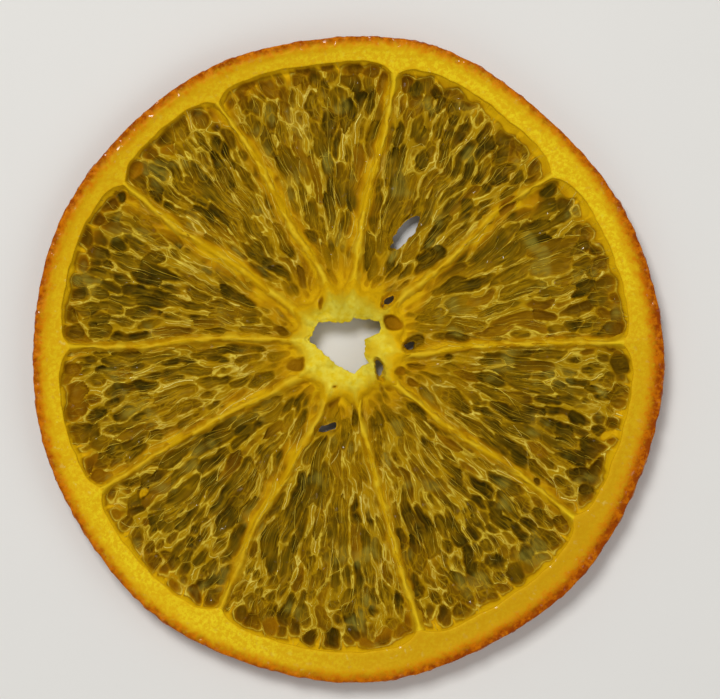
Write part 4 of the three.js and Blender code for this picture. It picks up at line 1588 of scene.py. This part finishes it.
def band_finish(tints):
    """Smooth yellow pith that turns orange and then brown towards the pitted skin."""
    finish = Finish("peel_and_pith")
    place = finish.object_place()
    around = finish.place("around")
    blotch = finish.speckle(finish.stretched(around, 0.9, 1.0), 1.0, 4.0, 0.6)
    fine = finish.speckle(place, 2400.0, 3.0, 0.65)
    broad = finish.speckle(place, 60.0, 2.0)
    sparks = finish.speckle(place, 1500.0, 1.0)
    browned = finish.mask("brown")
    inset = finish.mask("inset") + (blotch - 0.5) * 1.9 + (fine - 0.5) * 1.5
    inset = inset + 0.24 - browned * 0.65
    gland = finish.mask("gland")
    pith = finish.blend(finish.between(broad, 0.35, 0.65, 0.0, 0.4), tints.pith, tints.pith_deep)
    pith = finish.blend(finish.between(fine, 0.36, 0.6, 0.0, 0.75), pith, tints.pith_deep)
    # Darker, more orange pith towards the lower right.
    pith = finish.blend(finish.mask("orange") * 0.8, pith, tints.pith_shade)
    # Painted glints: small pale highlights painted into the pith's colour.
    painted_glints = finish.between(sparks, 0.68, 0.78) * finish.between(broad, 0.5, 0.6, 0.0, 0.3)
    pith = finish.blend(painted_glints, pith, tints.thread_pale_and_lit)
    pith = finish.blend(finish.between(inset, 1.0, 2.4, 0.85, 0.0), pith, tints.pith_deep)
    # Painted light: the pith's thin inner edge lightened as if light shone through it.
    pith = finish.blend(finish.mask("brim_and_light") * 0.5, pith, tints.brim_and_light)
    brown = finish.between(blotch, 0.43, 0.64) * finish.between(inset, 0.2, 1.5, 0.95, 0.4)
    brown = brown + gland * 0.7 + finish.between(fine, 0.5, 0.62) * 0.45 + browned * 0.25
    skin = finish.blend(finish.capped(brown), tints.skin, tints.skin_dark)
    colour = finish.blend(finish.between(inset, 0.6, 2.1, 1.0, 0.0), pith, skin)
    finish.set(
        Base_Color=colour,
        Roughness=finish.between(fine, 0.3, 0.7, 0.38, 0.55),
        Normal=finish.bump(fine * 0.5 + blotch * 0.5, 0.0001, 0.6),
        Specular_IOR_Level=0.25,
        Specular_Tint=GLOSS,
        Coat_Weight=finish.between(sparks, 0.64, 0.72, 0.0, 0.9),
        Coat_Roughness=0.15,
    )
    return finish


# Each face's columns round the slice, and its rows over the core and over the pulp.
UPPER_GRID = (1400, 24, 160)
LOWER_GRID = (700, 16, 70)
HOLE_WALL_ROWS = 9

# Fibres in each segment, and the seeds of the vesicles and the threads, on each face.
FIBRES = (120, 25)
VESICLE_SEEDS = (1000, 2000)
THREAD_SEEDS = (77, 78)


class PeelMaker(bpy.types.Operator):
    """Make the band of peel and pith."""

    bl_idname = "orange_slice.peel"
    bl_label = "Peel and pith"

    def execute(self, context):
        scene = context.scene
        make_band(scene.slice_sizes, band_finish(scene.slice_tints))
        return {"FINISHED"}


class PulpMaker(bpy.types.Operator):
    """Make both sheets of dried pulp, the crests of the walls and the nets of threads."""

    bl_idname = "orange_slice.pulp"
    bl_label = "Pulp, walls and threads"

    def execute(self, context):
        sizes, tints = context.scene.slice_sizes, context.scene.slice_tints
        width = sizes.vesicle_width / MM
        faces = [Face(side, width, seed) for side, seed in enumerate(VESICLE_SEEDS)]
        pulp, threads, walls = pulp_finish(tints), thread_finish(tints), wall_finish(tints)
        upper, lower = Sheet(faces[0], *UPPER_GRID), Sheet(faces[1], *LOWER_GRID)
        for k in range(WALLS):
            new_piece(f"segment_{k + 1}", upper.pulp(k).beside(lower.pulp(k)), pulp)
        core = upper.core().beside(lower.core())
        new_piece("core", core.beside(hole_wall(upper, HOLE_WALL_ROWS)), pulp)
        crests = [wall_part(face) for face in faces]
        new_piece("segment_walls", crests[0].beside(crests[1]), walls)
        nets = [thread_part(face, sizes, fibres, seed)
                for face, fibres, seed in zip(faces, FIBRES, THREAD_SEEDS)]
        new_piece("threads", nets[0].beside(nets[1]), threads)
        return {"FINISHED"}


class StageMaker(bpy.types.Operator):
    """Make the floor, the soft lights and the camera that looks straight down."""

    bl_idname = "orange_slice.stage"
    bl_label = "Floor, lights and camera"

    def execute(self, context):
        scene = context.scene
        make_floor(scene.slice_sizes.floor_width, scene.slice_tints)
        make_lights(scene)
        make_camera(scene)
        return {"FINISHED"}


# How far the floor lies under the slice, in metres, so that the two never share a plane.
FLOOR_GAP = 0.00003


def make_floor(width, tints):
    """A plain pale floor, which is staging and no part of the slice."""
    half = width / 2
    mesh = bpy.data.meshes.new("floor")
    corners = [(-half, -half, 0), (half, -half, 0), (half, half, 0), (-half, half, 0)]
    mesh.from_pydata(corners, [], [(0, 1, 2, 3)])
    floor = bpy.data.objects.new("floor", mesh)
    bpy.context.scene.collection.objects.link(floor)
    floor.location.z = SLICE_LOW.z - FLOOR_GAP
    finish = Finish("floor")
    grain = finish.speckle(finish.object_place(), 90.0)
    finish.set(Base_Color=finish.blend(grain * 0.06, tints.floor, (0.5, 0.5, 0.5)), Roughness=0.8)
    mesh.materials.append(finish.material)


# The soft lights: name, place in metres, width in metres and power in watts.
LIGHTS = (
    ("key", (-0.16, 0.28, 0.58), 0.22, 2.9),
    ("fill", (0.45, -0.1, 0.5), 0.5, 0.9),
    ("low", (-0.1, -0.45, 0.4), 0.4, 0.42),
)
ROOM_LIGHT = 0.26


def make_lights(scene):
    """Soft lamps round the slice and an even light from all sides."""
    for name, place, size, power in LIGHTS:
        light = bpy.data.lights.new(name, "AREA")
        light.size = size
        light.energy = power
        lamp = bpy.data.objects.new(name, light)
        scene.collection.objects.link(lamp)
        lamp.location = place
        lamp.rotation_euler = (-Vector(place)).to_track_quat("-Z", "Y").to_euler()
    scene.world = bpy.data.worlds.new("studio")
    scene.world.use_nodes = True
    background = scene.world.node_tree.nodes["Background"]
    background.inputs["Color"].default_value = (1.0, 1.0, 1.0, 1.0)
    background.inputs["Strength"].default_value = ROOM_LIGHT
    scene.view_settings.view_transform = "Standard"


# The picture is 720 pixels of 0.115 mm wide, and the slice lies left of and below its middle.
VIEW_WIDTH = 82.8
VIEW_CENTRE = (1.32, 1.18)
CAMERA_HEIGHT = 300.0


def make_camera(scene):
    """A camera high over the slice that looks straight down."""
    camera = bpy.data.cameras.new("camera")
    camera.sensor_width = 36
    camera.lens = camera.sensor_width * CAMERA_HEIGHT / VIEW_WIDTH
    camera.clip_start = 0.01
    viewer = bpy.data.objects.new("camera", camera)
    scene.collection.objects.link(viewer)
    viewer.location = Vector((*VIEW_CENTRE, CAMERA_HEIGHT + HEIGHT * 0.6)) * MM
    scene.camera = viewer


class SlicePanel(bpy.types.Panel):
    """Lists what makes the slice."""

    bl_idname = "VIEW3D_PT_orange_slice"
    bl_label = "Dried Orange Slice"
    bl_space_type = "VIEW_3D"
    bl_region_type = "UI"
    bl_category = "Orange Slice"

    def draw(self, context):
        for maker in MAKERS:
            self.layout.operator(maker.bl_idname)
        for group in (context.scene.slice_sizes, context.scene.slice_tints):
            for name in group.__annotations__:
                self.layout.prop(group, name)


MAKERS = (PeelMaker, PulpMaker, StageMaker)
CLASSES = (SliceSizes, SliceTints, *MAKERS, SlicePanel)


def register():
    for cls in CLASSES:
        bpy.utils.register_class(cls)
    bpy.types.Scene.slice_sizes = bpy.props.PointerProperty(type=SliceSizes)
    bpy.types.Scene.slice_tints = bpy.props.PointerProperty(type=SliceTints)


def unregister():
    del bpy.types.Scene.slice_tints
    del bpy.types.Scene.slice_sizes
    for cls in reversed(CLASSES):
        bpy.utils.unregister_class(cls)


def main():
    register()
    bpy.ops.orange_slice.peel()
    bpy.ops.orange_slice.pulp()
    bpy.ops.orange_slice.stage()


if __name__ == "__main__":
    main()
